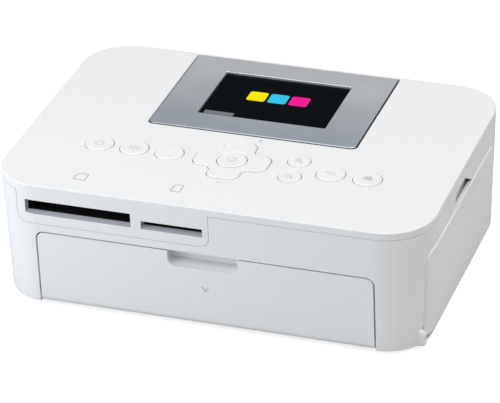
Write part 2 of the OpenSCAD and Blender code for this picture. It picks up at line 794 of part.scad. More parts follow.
module lcd_module() color(steel)
    block([-screen_w / 2 - 3, screen_y - screen_d / 2 - 3, panel_bottom + panel_wall],
          [screen_w / 2 + 3, screen_y + screen_d / 2 + 3, panel_top - frame_t - 0.3]);

module lcd_hinge_pins() color(steel) for (s = [-1, 1])
    bar_x(s * (panel_w / 2 + 1.5) - 3, s * (panel_w / 2 + 1.5) + 3, [tilt_axis_y, tilt_axis_z], display_pin_r);

// A key: a cap with a rounded rim, a flange under the roof and a stem over its switch
module key(at) color(white) translate([at[0], at[1], 0]) {
    cap_top = body_h + button_proud;
    rim = 0.4;
    rotate_extrude() {
        translate([0, flange_z]) square([at[2] - rim, cap_top - flange_z]);
        translate([0, flange_z]) square([at[2], cap_top - rim - flange_z]);
        translate([at[2] - rim, cap_top - rim]) circle(rim);
        translate([0, flange_z]) square([at[2] + button_flange, flange_t]);
    }
    translate([0, 0, stem_z]) cylinder(h = 1, r = 1.6);
}
module power_button() key(power_at);
module menu_button() key(menu_at);
module edit_button() key(edit_at);
module back_button() key(back_at);
module print_button() key(print_at);
module zoom_in_button() key(zoom_in_at);
module zoom_out_button() key(zoom_out_at);

// The OK key stands in the middle of the pad
module ok_button() color(white) translate([pad_at[0], pad_at[1], 0]) {
    cap_top = body_h + button_proud + 0.1;
    rim = 0.4;
    rotate_extrude() {
        translate([0, flange_z]) square([ok_r - rim, cap_top - flange_z]);
        translate([0, flange_z]) square([ok_r, cap_top - rim - flange_z]);
        translate([ok_r - rim, cap_top - rim]) circle(rim);
    }
    translate([0, 0, stem_z]) cylinder(h = 1, r = 1.6);
}

// Four-way pad: it rocks on the pivot ring, on two ribs of its own
module direction_pad() color(white) translate([pad_at[0], pad_at[1], 0]) {
    difference() {
        union() {
            along_z(flange_z, body_h + button_proud) pad_outline(0);
            along_z(flange_z, flange_z + flange_t) pad_outline(button_flange);
        }
        cylinder(h = 2 * body_h, r = ok_r + ok_gap);
    }
    for (s = [-1, 1])
        translate([-0.6, s * ring_mid - 0.9, ring_top + 0.08]) cube([1.2, 1.8, flange_z - ring_top]);
}

module pad_pivot_ring() color(light_grey) translate([pad_at[0], pad_at[1], 0]) difference() {
    along_z(ring_z, ring_top) circle(ring_out);
    along_z(ring_z - over, ring_top + over) circle(ring_in);
}

// Circuit board with its switches, and the two ribs that carry the pivot ring
module keypad_board() {
    color(board_green) difference() {
        union() {
            block([-keypad_half, keypad_front, keypad_z], [keypad_half, keypad_rear, keypad_top]);
            block(concat(keypad_tab[0], [keypad_z]), concat(keypad_tab[1], [keypad_top]));
        }
        for (p = keypad_bosses) bar_z(keypad_z - over, keypad_top + over, p, 0.95);
    }
    color(black) for (b = concat(buttons_at, [pad_at], pad_switches)) {
        translate([b[0] - 2.2, b[1] - 2.2, keypad_top]) cube([4.4, 4.4, switch_h]);
        bar_z(keypad_top + switch_h, keypad_top + switch_h + actuator_h, b, 1.1);
    }
    color(nylon) for (s = [-1, 1])
        translate([pad_at[0] + s * ring_mid - 0.9, pad_at[1] - 0.6, keypad_top])
            cube([1.8, 1.2, ring_z - 0.08 - keypad_top]);
}

// Main board, on the side plates' upper edges
board_left = gear_plate_x - plate_t;
board_right = plate_x - 4;
board_front = socket_front + 0.6;
board_rear = body_d / 2 - 5.5;
module main_board() {
    color(board_green) along_z(board_z, board_z + board_t) difference() {
        translate([board_left, board_front]) square([board_right - board_left, board_rear - board_front]);
        translate([board_left - over, plate_rear - 22]) square([13 + over, body_d]);
    }
    color(black) {
        block([-12, -28, board_z + board_t], [10, -8, board_z + board_t + 1.4]);
        block([22, -26, board_z + board_t], [38, -12, board_z + board_t + 1.2]);
        block([-40, 12, board_z + board_t], [-24, 28, board_z + board_t + 1.2]);
    }
    color(silver) for (x = [board_right - 10, board_right - 5], y = [board_front + 15.5, board_front + 23.5])
        bar_z(board_z + board_t, board_z + board_t + 3.6, [x, y], 1.9);
    color(nylon) block([board_right - 26, board_rear - 14, board_z + board_t],
                       [board_right - 8, board_rear - 10, board_z + board_t + 2]);
}

// Card socket: a box on the main board, open to the front
module card_socket(x, w, top, h, deep) color(black) difference() {
    block([x - w / 2 - 1.2, socket_front, board_z + board_t],
          [x + w / 2 + 1.2, socket_front + deep, top + socket_wall]);
    block([x - w / 2, socket_front - over, top - h], [x + w / 2, socket_front + deep - 3, top]);
}
module large_card_socket() {
    pins_rear = socket_front + large_socket_d - 2.5;
    card_socket(large_slot_x, large_slot_w, slot_top, large_slot_h, large_socket_d);
    color(brass_colour) for (i = [-12 : 12], z = [-0.8, 0.8])
        bar_y(pins_rear - 5.5, pins_rear, [large_slot_x + i * 1.27, slot_top - large_slot_h / 2 + z], 0.22);
}
module small_card_socket() {
    card_socket(small_slot_x, small_slot_w, small_slot_top, small_slot_h, small_socket_d);
    color(brass_colour) for (i = [-4 : 4])
        translate([small_slot_x + i * 2.4 - 0.4, socket_front + small_socket_d - 9, small_slot_top - 0.5])
            cube([0.8, 6.5, 0.6]);
}

module usb_socket() color(silver) {
    y0 = half_d(board_z) - 14.3;
    y1 = half_d(board_z) - 0.5;
    difference() {
        block([usb_x - usb_w / 2, y0, board_z - usb_h], [usb_x + usb_w / 2, y1, board_z]);
        block([usb_x - usb_w / 2 + 1.6, y0 + 5, board_z - usb_h + 1.6],
              [usb_x + usb_w / 2 - 1.6, y1 + over, board_z - 1.6]);
    }
    block([usb_x - 2.8, y0 + 4, board_z - usb_h / 2 - 1.5], [usb_x + 2.8, y1 - 1.5, board_z - usb_h / 2 + 1.5]);
}

module power_inlet() {
    y0 = half_d(board_z) - 14;
    y1 = half_d(board_z) - 0.5;
    z = board_z - inlet_r - 1;
    color(black) difference() {
        union() {
            bar_y(y0, y1, [inlet_x, z], inlet_r);
            block([inlet_x - inlet_r - 1, y0 - 1, z - inlet_r], [inlet_x + inlet_r + 1, y1 - 4, board_z]);
        }
        bar_y(y0 + 3, y1 + over, [inlet_x, z], 2.9);
    }
    color(brass_colour) bar_y(y0 + 2, y1 - 1.5, [inlet_x, z], 0.9);
}

// Outline of a side plate in Y and Z
module plate_outline() difference() {
    translate([plate_front, floor_top]) square([plate_rear - plate_front, board_z - floor_top]);
    translate([-8, floor_top - over]) square([16, 3]);
}

// Holes for the bushes and for the rods that turn in the plate itself
module plate_holes(x) {
    for (at = [pickup_at, [platen_y, platen_z], grip_at, takeup_at, supply_at])
        bar_x(x - over, x + plate_t + over, at, bush_r);
    bar_x(x - over, x + plate_t + over, [grip_y, pinch_z], pinch_bush_r);
    for (at = [[pivot_y, pivot_z], [cam_y, cam_z]])
        bar_x(x - over, x + plate_t + over, at, rod_r + run_gap);
}

// Feet of a side plate, bent outwards onto the floor bosses
module plate_feet(side) for (y = flange_y) difference() {
    x = side * plate_x;
    block([min(x, x + side * (plate_t + flange_out)), y - flange_len / 2, floor_top + foot_boss_h],
          [max(x, x + side * (plate_t + flange_out)), y + flange_len / 2, floor_top + foot_boss_h + plate_t]);
    bar_z(0, body_h, [side * (plate_out + flange_out / 2), y], pilot_r + 0.2);
}

module left_side_plate() color(steel) {
    difference() {
        along_x(-plate_out, -plate_x) plate_outline();
        plate_holes(-plate_out);
        // Bolt holes for the gear plate's posts
        for (at = post_at) bar_x(-plate_out - over, -plate_x + over, at, 1);
    }
    plate_feet(-1);
}

module right_side_plate() color(steel) {
    difference() {
        along_x(plate_x, plate_out) plate_outline();
        plate_holes(plate_x);
        along_x(plate_x - over, plate_out + over)
            round_rect([takeup_y - chamber_r - 1.2, chamber_floor - 1],
                       [supply_y + chamber_r + 1.2, spool_z + chamber_r + 1.2], 2);
    }
    plate_feet(1);
}

// Guide under the paper path, which also ties the two side plates together
module paper_guide() color(light_grey) {
    deck_z = paper_z - 0.9;
    tie_z = floor_top + 2.6;
    block([-plate_x, platen_y - 8, tie_z], [plate_x, plate_rear, tie_z + 1.6]);
    for (deck = [[platen_y + platen_r + 1.5, grip_y - grip_r - 1.5], [grip_y + grip_r + 1.5, plate_rear + 8]]) {
        block([-paper_w / 2 - 3, deck[0], deck_z - 1.4], [paper_w / 2 + 3, deck[1], deck_z]);
        for (i = [-3 : 3])
            block([i * paper_w / 6.2 - 0.9, deck[0], tie_z + 1.5],
                  [i * paper_w / 6.2 + 0.9, min(deck[1], plate_rear), deck_z - 1.3]);
    }
    for (s = [-1, 1])
        block([s * (paper_w / 2 + 2.2) - 0.8, platen_y + platen_r + 1.5, deck_z - 0.1],
              [s * (paper_w / 2 + 2.2) + 0.8, grip_y - grip_r - 1.5, deck_z + 1.2]);
}

// Gear plate on four posts, with the studs of the idler and of the reduction gear
module gear_plate() color(steel) {
    difference() {
        along_x(gear_plate_x - plate_t, gear_plate_x) gear_plate_outline();
        for (at = [pickup_at, grip_at, takeup_at])
            bar_x(gear_plate_x - plate_t - over, gear_plate_x + over, at, shaft_r + 0.5);
        for (at = [motor_at, ribbon_motor_at])
            bar_x(gear_plate_x - plate_t - over, gear_plate_x + over, at, motor_collar_r);
    }
    for (at = post_at) {
        bar_x(gear_plate_x - 0.1, -plate_out, at, post_r);
        bar_x(-plate_out - 0.1, -plate_x, at, 1);
    }
    for (at = [reduction_at, idler_at]) bar_x(layer_b - 0.6, gear_plate_x - plate_t + 0.1, at, stud_r);
}
module gear_plate_outline() {
    top = board_z - 0.6;
    round_rect([plate_front + 0.5, floor_top + 4.2], [plate_front + 14, top], 2);
    round_rect([plate_front + 9, floor_top + 1.7], [plate_rear - 2, top], 2);
}

// Motor can with a collar in the gear plate; the pinion's shaft turns in it
module motor(at, can_r) color(steel) difference() {
    union() {
        bar_x(gear_plate_x + 0.02, -plate_out - 0.6, at, can_r);
        bar_x(gear_plate_x - plate_t, gear_plate_x + 0.1, at, motor_collar_r);
    }
    bar_x(gear_plate_x - plate_t - over, -plate_out - 3, at, motor_shaft_r + run_gap);
}
module feed_motor() motor(motor_at, feed_motor_r);
module ribbon_motor() motor(ribbon_motor_at, ribbon_motor_r);

// Spur gear about its own axis, in the plane of Y and Z: each tooth is a short trapezium on the rim
module gear_outline(teeth) {
    r = pitch_r(teeth);
    outer = r + 0.8 * gear_m;
    root = r - 1.05 * gear_m;
    circle(root);
    for (i = [0 : teeth - 1]) rotate(i * 360 / teeth) polygon([
        [root - 0.3, -tooth_half(teeth, root)], [root, -tooth_half(teeth, root)],
        [r, -tooth_half(teeth, r)], [outer, -tooth_half(teeth, outer)],
        [outer, tooth_half(teeth, outer)], [r, tooth_half(teeth, r)],
        [root, tooth_half(teeth, root)], [root - 0.3, tooth_half(teeth, root)]]);
}

// Half the thickness of an involute tooth at radius q, with 20 degrees of pressure angle and some play
function roll_angle(teeth, q) =
    let (base = pitch_r(teeth) * cos(20), c = min(1, base / q), a = acos(c)) tan(a) * 180 / PI - a;
function tooth_half(teeth, q) =
    q * sin(90 / teeth - 0.06 / pitch_r(teeth) * 180 / PI + roll_angle(teeth, pitch_r(teeth)) - roll_angle(teeth, q));

module spur_gear(x, at, teeth, turn, bore) translate([x, at[0], at[1]]) rotate([90, 0, 90]) difference() {
    linear_extrude(gear_w) rotate(turn) gear_outline(teeth);
    translate([0, 0, -over]) cylinder(h = gear_w + 2 * over, r = bore);
}

// Pinion on its motor's shaft
module pinion(x, at, turn) color(brass_colour) {
    spur_gear(x, at, pinion_teeth, turn, motor_shaft_r - 0.2);
    bar_x(x, -plate_out - 3.3, at, motor_shaft_r);
}
module motor_pinion() pinion(layer_b, motor_at, motor_turn);
module ribbon_pinion() pinion(layer_a, ribbon_motor_at, ribbon_turn);
module reduction_gear() color(nylon) {
    spur_gear(layer_a, reduction_at, small_teeth, small_turn, stud_r + run_gap);
    spur_gear(layer_b, reduction_at, large_teeth, small_turn, stud_r + run_gap);
    translate([layer_b + gear_w - 0.1, reduction_at[0], reduction_at[1]]) rotate([0, 90, 0]) difference() {
        cylinder(h = 0.8, r = 3);
        translate([0, 0, -over]) cylinder(h = 3, r = stud_r + run_gap);
    }
}
module idler_gear() color(nylon) spur_gear(layer_b, idler_at, idler_teeth, idler_turn, stud_r + run_gap);
module pickup_gear() color(nylon) spur_gear(layer_b, pickup_at, pickup_teeth, pickup_turn, shaft_r);
module grip_gear() color(nylon) spur_gear(layer_a, grip_at, grip_teeth, 0, shaft_r);

module grip_roller() color(steel) {
    bar_x(-paper_w / 2 - 2, paper_w / 2 + 2, grip_at, grip_r);
    bar_x(layer_a, shaft_end, grip_at, shaft_r);
}
module pinch_roller() color(rubber_black) {
    for (x = [-paper_w / 2, -paper_w / 6 + 3, paper_w / 6 + 3])
        bar_x(x, x + paper_w / 3 - 6, [grip_y, pinch_z], pinch_r);
    bar_x(-shaft_end, shaft_end, [grip_y, pinch_z], pinch_shaft_r);
}
module platen_shaft() color(steel) bar_x(-shaft_end, shaft_end, [platen_y, platen_z], shaft_r);
module platen_rubber() color(rubber_black) difference() {
    bar_x(-paper_w / 2 - 1, paper_w / 2 + 1, [platen_y, platen_z], platen_r);
    bar_x(-paper_w, paper_w, [platen_y, platen_z], shaft_r);
}
module pickup_shaft() color(steel) bar_x(layer_b, shaft_end, pickup_at, shaft_r);
module pickup_tyres() color(rubber_black) for (x = [-20, 8]) difference() {
    bar_x(x, x + 12, pickup_at, pickup_r);
    bar_x(x - over, x + 12 + over, pickup_at, shaft_r);
}

// Plain bushes, pressed into the side plates
module bush(x, at, bore, outer) difference() {
    bar_x(x, x + 2.4, at, outer);
    bar_x(x - over, x + 2.4 + over, at, bore + run_gap);
}
module roller_bushes() color(nylon) {
    for (at = [pickup_at, [platen_y, platen_z], grip_at], x = [-plate_out - 0.4, plate_x - 1])
        bush(x, at, shaft_r, bush_r);
    for (x = [-plate_out - 0.4, plate_x - 1]) bush(x, [grip_y, pinch_z], pinch_shaft_r, pinch_bush_r);
    for (at = [takeup_at, supply_at]) difference() {
        bar_x(-plate_out - 0.4, -plate_x + 0.4, at, bush_r);
        bar_x(-plate_out - 2, -plate_x + 2, at, shaft_r + run_gap);
    }
}

// Hubs that drive and brake the spools through six-sided spigots
hub_face = case_left - 0.4;
module hub(at, shaft_from) {
    bar_x(-plate_x + 0.6, hub_face, at, 5);
    bar_x(shaft_from, -plate_x + 0.7, at, shaft_r);
    translate([hub_face - 0.1, at[0], at[1]]) rotate([0, 90, 0]) cylinder(h = 5.1, r = spigot_r, $fn = 6);
}
module takeup_hub() color(nylon) {
    hub(takeup_at, layer_a);
    spur_gear(layer_a, takeup_at, hub_teeth, 0, shaft_r - 0.2);
}
module supply_hub() color(nylon) {
    hub(supply_at, -plate_out - 2.4);
    bar_x(-plate_out - 2.4, -plate_out - 0.9, supply_at, shaft_r + 0.4);
}

// Ink cassette: two round chambers joined by low rails, with a grip plate at the right end
module ink_cassette_case() color(light_grey) {
    difference() {
        union() {
            for (at = [takeup_at, supply_at]) bar_x(case_left, case_right, at, chamber_r);
            for (x = [[case_left, case_left + 3.5], [plate_x - 6, case_right]])
                block([x[0], takeup_y + 5, chamber_floor + 0.1], [x[1], supply_y - 5, rail_top]);
        }
        for (at = [takeup_at, supply_at]) {
            bar_x(case_left + end_wall, case_right - end_wall, at, chamber_bore);
            bar_x(case_left - over, case_right - end_wall + over, at, spool_r + run_gap);
        }
        block([-roll_half - 1, takeup_y + 2.8, 0], [roll_half + 1, takeup_y + 9, film_z + 2]);
        block([-roll_half - 1, supply_y - 9, 0], [roll_half + 1, supply_y - 1.2, film_z + 0.9]);
        // Dip in the left rail, for the end of the lowered head while the cassette slides out
        block([case_left - over, head_front - 1, head_bottom - head_fall],
              [case_left + 4, head_back + 1.6, rail_top + over]);
    }
    along_x(case_right - 0.1, case_right + grip_plate_t)
        round_rect([takeup_y - chamber_r + 0.4, chamber_floor + 0.4],
                   [supply_y + chamber_r - 0.4, spool_z + chamber_r - 0.4], 4);
    block([case_right + grip_plate_t - 0.1, head_front, spool_z - 2],
          [case_right + grip_plate_t + 7, platen_y + 8, spool_z + 2]);
    // Lug that the eject lever pushes
    block([case_right + grip_plate_t - 0.1, takeup_y - 7.4, lever_z], [lug_x + 2, takeup_y - 5, lever_z + lever_t]);
    block([lug_x, lever_y + 9, lever_z], [lug_x + 2, takeup_y - 5, lever_z + lever_t]);
}

module spool(at) color(nylon) difference() {
    bar_x(case_left + 0.1, case_right - end_wall + 0.8, at, spool_r);
    translate([case_left - over, at[0], at[1]]) rotate([0, 90, 0]) cylinder(h = 7, r = socket_r, $fn = 6);
}
module supply_spool() spool(supply_at);
module takeup_spool() spool(takeup_at);
module roll(at, r) color([0.15, 0.12, 0.2]) difference() {
    bar_x(-roll_half, roll_half, at, r);
    bar_x(-roll_half - over, roll_half + over, at, spool_r);
}
module supply_roll() roll(supply_at, supply_roll_r);
module takeup_roll() roll(takeup_at, takeup_roll_r);

// Ribbon web between the two rolls
module ink_ribbon() color([0.75, 0.2, 0.45, 0.8]) {
    low = [takeup_y + 8, film_z];
    high = takeup_at + [-0.6, -takeup_roll_r - 0.2];
    along_x(-roll_half, roll_half) polygon([
        low - [0, film_t], [supply_y, film_z - film_t], [supply_y, film_z], low, high, high - [0, film_t * 1.3]]);
}

// Eject lever: a bell crank on a post of the lower shell
module eject_lever() color([0.85, 0.45, 0.15]) difference() {
    union() {
        bar_z(lever_z, lever_z + lever_t, [lever_x, lever_y], 3);
        along_z(lever_z, lever_z + lever_t) {
            lever_arm([lug_x - lever_tip_r - 0.2, lever_y + 8.3], lever_tip_r);
            lever_arm([lever_x + 9, lever_y - 1.6], 1.3);
        }
    }
    bar_z(lever_z - over, lever_z + lever_t + over, [lever_x, lever_y], stud_r + run_gap);
}
module lever_arm(tip, r) {
    d = [tip[0] - lever_x, tip[1] - lever_y];
    translate([lever_x, lever_y]) rotate(atan2(d[1], d[0])) translate([0, -0.8 * r]) square([norm(d), 1.6 * r]);
    translate(tip) circle(r);
}

module thermal_head() {
    color(nylon) block([-paper_w / 2 - 3.5, head_front, head_bottom + 0.3],
                       [paper_w / 2 + 3.5, head_back, head_bottom + head_t]);
    color(black) block([-paper_w / 2, platen_y - 2, head_bottom], [paper_w / 2, platen_y + 2, head_bottom + 0.4]);
}

// Heat sink over the head, with fins along it
module head_heat_sink() color(silver) {
    base = head_bottom + head_t;
    block([-paper_w / 2 - 3.5, head_front, base], [paper_w / 2 + 3.5, head_back, base + 3]);
    for (i = [0 : 4]) {
        y = head_front + i * (head_back - head_front - 1.4) / 4;
        block([-paper_w / 2 - 3.5, y, base + 2.9], [paper_w / 2 + 3.5, y + 1.4, sink_top]);
    }
}

// Arm that carries the head, on a rod that turns in the side plates
module head_arm() color(steel) {
    half = paper_w / 2 + 3.5;
    block([-half, head_back, head_bottom + head_t + 0.5], [half, head_back + arm_t, arm_z + arm_t]);
    block([-half, head_back, arm_z], [half, pivot_y + 1, arm_z + arm_t]);
    bar_x(-plate_out - 0.5, plate_out + 0.5, [pivot_y, pivot_z], rod_r);
    for (s = [-1, 1])
        block([s * tail_x - 2.5, pivot_y - 1, cam_z + cam_rest_r + cam_gap],
              [s * tail_x + 2.5, cam_y + 3, cam_z + cam_rest_r + cam_gap + 1.4]);
}

// Torsion springs on the rod, between the arm and the side plates
module head_springs() color(steel) for (s = [-1, 1], i = [0 : 3])
    translate([s * (plate_x - 3.6 + i * 0.74), pivot_y, pivot_z]) rotate([0, 90, 0])
        rotate_extrude() translate([2.6, 0]) circle(0.36, $fn = 16);

// Cam shaft: its rise pushes up the arm's tails and brings the head down
module head_cam() color(nylon) {
    bar_x(-plate_out - 0.5, plate_out + 0.5, [cam_y, cam_z], rod_r);
    for (s = [-1, 1]) translate([s * tail_x - 2, cam_y, cam_z]) rotate([90, 0, 90]) linear_extrude(4)
        polygon([for (a = [-60 : 6 : 294]) cam_radius(a) * [cos(a), sin(a)]]);
}
function cam_radius(a) = a >= 90 ? cam_rest_r - 0.6 * min(1, (a - 90) / 60) * (a > 240 ? (300 - a) / 60 : 1)
                                 : cam_rest_r + cam_lift * (90 - max(a, -10)) / 90;

module rubber_feet() color(rubber_black) for (p = foot_at) bar_z(0, floor_z + foot_seat, p, foot_r);

// Screws: four for the side plates, four for the shells and the keypad board's own
module screw(at, z, up, r, len, head) {
    bar_z(min(z, z + up * len), max(z, z + up * len), at, r);
    bar_z(min(z, z - up * head), max(z, z - up * head), at, 2 * r);
}
module screws() color(steel) {
    for (s = [-1, 1], y = flange_y)
        screw([s * (plate_out + flange_out / 2), y], floor_top + foot_boss_h + plate_t, -1,
              pilot_r, foot_boss_h + plate_t - 0.3, 1.5);
    for (p = shell_bosses) screw(p, shell_boss_z, 1, pilot_r, shell_boss_top - shell_boss_z + 4, 1.4);
    for (p = keypad_bosses) screw(p, keypad_z, 1, 0.8, keypad_t + 3, 1);
}

upper_shell();
lower_shell();
front_cover();
side_cover();
lcd_frame();
lcd_tray();
lcd_window();
lcd_module();
lcd_hinge_pins();
power_button();
menu_button();
edit_button();
ok_button();
zoom_in_button();
zoom_out_button();
back_button();
print_button();
direction_pad();
pad_pivot_ring();
keypad_board();
main_board();
large_card_socket();
small_card_socket();
usb_socket();
power_inlet();
left_side_plate();
right_side_plate();
paper_guide();
gear_plate();
feed_motor();
motor_pinion();
reduction_gear();
idler_gear();
pickup_gear();
grip_gear();
grip_roller();
pinch_roller();
platen_shaft();
platen_rubber();
pickup_shaft();
pickup_tyres();
roller_bushes();
ribbon_motor();
ribbon_pinion();
takeup_hub();
supply_hub();
ink_cassette_case();
supply_spool();
supply_roll();
takeup_spool();
takeup_roll();
ink_ribbon();
eject_lever();
thermal_head();
head_heat_sink();
head_arm();
head_springs();
head_cam();
rubber_feet();
screws();
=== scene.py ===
"""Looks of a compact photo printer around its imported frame. +Z up, the front faces -Y.

Meshes are built in millimetres and scaled to metres when they become objects.
"""
import json
import math

import bmesh
import bpy
from mathutils import Matrix, Vector


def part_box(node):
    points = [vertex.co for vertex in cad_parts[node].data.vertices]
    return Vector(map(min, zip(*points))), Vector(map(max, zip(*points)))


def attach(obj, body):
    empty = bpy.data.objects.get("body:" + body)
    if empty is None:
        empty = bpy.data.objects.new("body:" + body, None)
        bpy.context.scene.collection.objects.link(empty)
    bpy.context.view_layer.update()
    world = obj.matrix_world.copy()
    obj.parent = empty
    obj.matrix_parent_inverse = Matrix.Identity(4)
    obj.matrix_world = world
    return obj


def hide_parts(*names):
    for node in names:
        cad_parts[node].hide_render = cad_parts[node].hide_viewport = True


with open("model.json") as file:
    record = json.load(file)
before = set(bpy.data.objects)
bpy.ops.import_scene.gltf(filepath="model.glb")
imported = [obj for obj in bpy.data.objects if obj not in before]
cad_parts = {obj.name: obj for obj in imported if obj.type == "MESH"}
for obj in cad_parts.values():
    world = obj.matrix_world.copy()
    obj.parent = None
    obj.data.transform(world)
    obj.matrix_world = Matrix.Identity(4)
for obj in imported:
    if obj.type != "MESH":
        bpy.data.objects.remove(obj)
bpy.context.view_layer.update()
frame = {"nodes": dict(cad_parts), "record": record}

MM = 0.001

# ---------------- sizes, in millimetres


def node_box(node):
    """Lowest and highest corner of a CAD node, in millimetres."""
    low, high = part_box(node)
    return low / MM, high / MM


def quarter_round(r, angles):
    """Steps of a quarter round: how far each is drawn in, and how far it lies from the face."""
    return [(r * (1 - math.cos(math.radians(a))), r * (1 - math.sin(math.radians(a)))) for a in angles]


# How far a cutter reaches past a face
OVER = 1

# Housing: the sides lean in downwards
shell_low, shell_high = node_box("upper_shell")
BODY_W = shell_high.x - shell_low.x
BODY_D = shell_high.y - shell_low.y
BODY_H = shell_high.z
SLOPE = math.tan(math.radians(2))
CORNER_R = 20
CORNER_X = BODY_W / 2 - CORNER_R
CORNER_Y = BODY_D / 2 - CORNER_R
CORNER_STEPS = 24
ROUND_STEPS = 6
WALL = 2
TOP_EDGE_R = 0.6
SHELL_FOOT_R = 0.8
UPPER_EDGE_R = 0.22
LOWER_EDGE_R = 0.2
# Chamfer of the holes in the top surface
RIM = 0.22
FLOOR_Z = node_box("lower_shell")[0].z
FLOOR_TOP = FLOOR_Z + WALL
LIP_H = 3.3
SEAM_GAP = 0.1
SEAM_Z = BODY_H - LIP_H
LOWER_TOP = SEAM_Z - SEAM_GAP
ROOF_Z = BODY_H - WALL
REAR_CUT_Y = BODY_D / 2 - 6
# A point this near the outer faces lies on the outside
SKIN = 0.35


def half_w(z):
    """Half the width of the housing at height z."""
    return BODY_W / 2 - SLOPE * (BODY_H - z)


def half_d(z):
    """Half the depth of the housing at height z."""
    return BODY_D / 2 - SLOPE * (BODY_H - z)


# Apron of the upper shell and its card slots: middle, width, upper edge, height, drop of the lead-in
APRON_LEFT = -77
APRON_RIGHT = 3
APRON_Z = 38.2
APRON_R = 4
LARGE_SLOT = dict(x=-50.7, w=43.4, top=48.5, h=4.9, lead=1.6)
SMALL_SLOT = dict(x=-11.8, w=24.5, top=45.9, h=2.2, lead=1.8)
SLOT_BACK = -60.1
SLOT_LEAD_Y = -BODY_D / 2 + 2.4
SLOT_LEAD_SIDE = 0.6
SLOT_LEAD_RISE = 0.25
SLOT_WALL = 1.4
SLOT_ROOF = 0.9
SLOT_FLOOR = 0.3

# Front cover
COVER_HALF = 69
COVER_TOP = 34.2
COVER_R = 3
COVER_FOOT_R = 3
COVER_EDGE_R = 0.25
COVER_GAP = 0.55
COVER_AXIS = (-59.0, FLOOR_Z + 3)
COVER_KNUCKLE_R = 2.4
COVER_SWEEP_R = 4.4
COVER_LUG_T = 3
COVER_PIN_REACH = 3
HINGE_PIN_R = 1.4
RUN_GAP = 0.05
SCOOP_W = 28.8
SCOOP_H = 6.5
SCOOP_DEPTH = 4.6
SCOOP_R = 3
SCOOP_WALL = 1.4
SCOOP_FACE = -half_d(COVER_TOP)
SCOOP_FLOOR = [(SCOOP_FACE + 1, COVER_TOP - SCOOP_H - 0.6),
               (SCOOP_FACE + SCOOP_DEPTH, COVER_TOP - SCOOP_H + 2),
               (SCOOP_FACE + SCOOP_DEPTH, COVER_TOP + 5)]
CHEVRON_X = 0.6
CHEVRON_Z = COVER_TOP - 17
CHEVRON_H = 2.7
CHEVRON_HALF = 1.8
CHEVRON_DEPTH = 0.4

# Side cover and the finger notch over it
SIDE_FRONT = -51
SIDE_REAR = 42
SIDE_TOP = 42.4
SIDE_BOTTOM = 5
SIDE_R = 4
SIDE_GAP = 0.05
SIDE_PROUD = 0.7
SIDE_T = 1.7
SIDE_EDGE_R = 0.55
SIDE_AXIS = (half_w(FLOOR_Z) - 2.1, FLOOR_Z + 4.8)
SIDE_KNUCKLE_R = 1.7
SIDE_SWEEP_R = 3.6
SIDE_PIN_REACH = 2.2
SIDE_PLAY = 0.3
LUG_T = 2.9
LUG_R = 2.2
LUG_FOOT = FLOOR_Z + 0.3
LUG_CORNER = 0.8
LUG_EDGE_R = 0.9
# Inset and depth of the soft edge of a lug, from its end face inwards
LUG_EDGE = quarter_round(LUG_EDGE_R, (90, 60, 30, 0))
NOTCH_Y = -2.3
NOTCH_W = 31
NOTCH_LOW = SIDE_TOP - 2
NOTCH_TOP = SIDE_TOP + 6.5
NOTCH_FLOOR = SIDE_TOP - 0.1
NOTCH_DEPTH = 5.2
NOTCH_STEP = 3.4
NOTCH_FRONT_SLANT = 4
NOTCH_REAR_SLANT = 14
NOTCH_WALL = 1.2
SIDE_MARK = (NOTCH_Y - 3.9, SIDE_TOP - 6.3)
SIDE_MARK_OUTER = 2.6
SIDE_MARK_INNER = 2.0
SIDE_MARK_DEPTH = 0.25

# Display: a frame on a tray that tilts in a tub
PANEL_W = 86.8
PANEL_D = 62.7
PANEL_TOP = BODY_H + 0.2
PANEL_FRONT = BODY_D / 2 - 2 - PANEL_D
PANEL_MID = PANEL_FRONT + PANEL_D / 2
PANEL_T = 7.3
PANEL_R = 2.4
PANEL_REAR_R = 1.4
PANEL_GAP = 0.7
RECESS_R = PANEL_R + 0.3
RECESS_REAR = PANEL_FRONT + PANEL_D + 0.4
UNDERCUT = 0.3
FRAME_T = 1.7
FRAME_RIM = 0.45
FRAME_FRONT_R = 0.55
SCREEN_W = 54.2
SCREEN_D = 37.6
SCREEN_R = 0.6
SCREEN_Y = PANEL_MID + 0.4
WINDOW_LAP = 2.1
TUB_WALL = 1.5
TUB_FLOOR = 1.2
TUB_Z = PANEL_TOP - PANEL_T - 1.3
TUB_HALF = PANEL_W / 2 + PANEL_GAP + TUB_WALL
TILT_AT = (PANEL_FRONT + 3, PANEL_TOP - 2.8)
TILT_PIN_R = 0.8
STOP_X = 36
STOP_Y = (PANEL_MID + 24, PANEL_MID + 28)

# Picture on the screen: middle, half sizes, corner radius and colour of each tile
TILE_Y = SCREEN_Y + 2.5
TILE_HALF = 3.9
TILE_R = 1.2
SCREEN_TILES = (
    (-8.4, TILE_Y, TILE_HALF, TILE_HALF, TILE_R, (0.98, 0.86, 0.0)),
    (0.6, TILE_Y, TILE_HALF, TILE_HALF, TILE_R, (0.03, 0.58, 0.86)),
    (9.6, TILE_Y, TILE_HALF, TILE_HALF, TILE_R, (0.94, 0.01, 0.3)),
    (-19, SCREEN_Y - 15.5, 6.2, 1.4, 0.3, (0.2, 0.21, 0.22)),
)
TILE_SOFT_EDGE = 0.12

# Keys, the four-way pad and the keypad board below them
KEY_TOP = BODY_H + 0.4
KEY_RIM = 0.7
RIM_ANGLES = (15, 30, 45, 60, 75, 90)
KEY_SWELL = 0.09
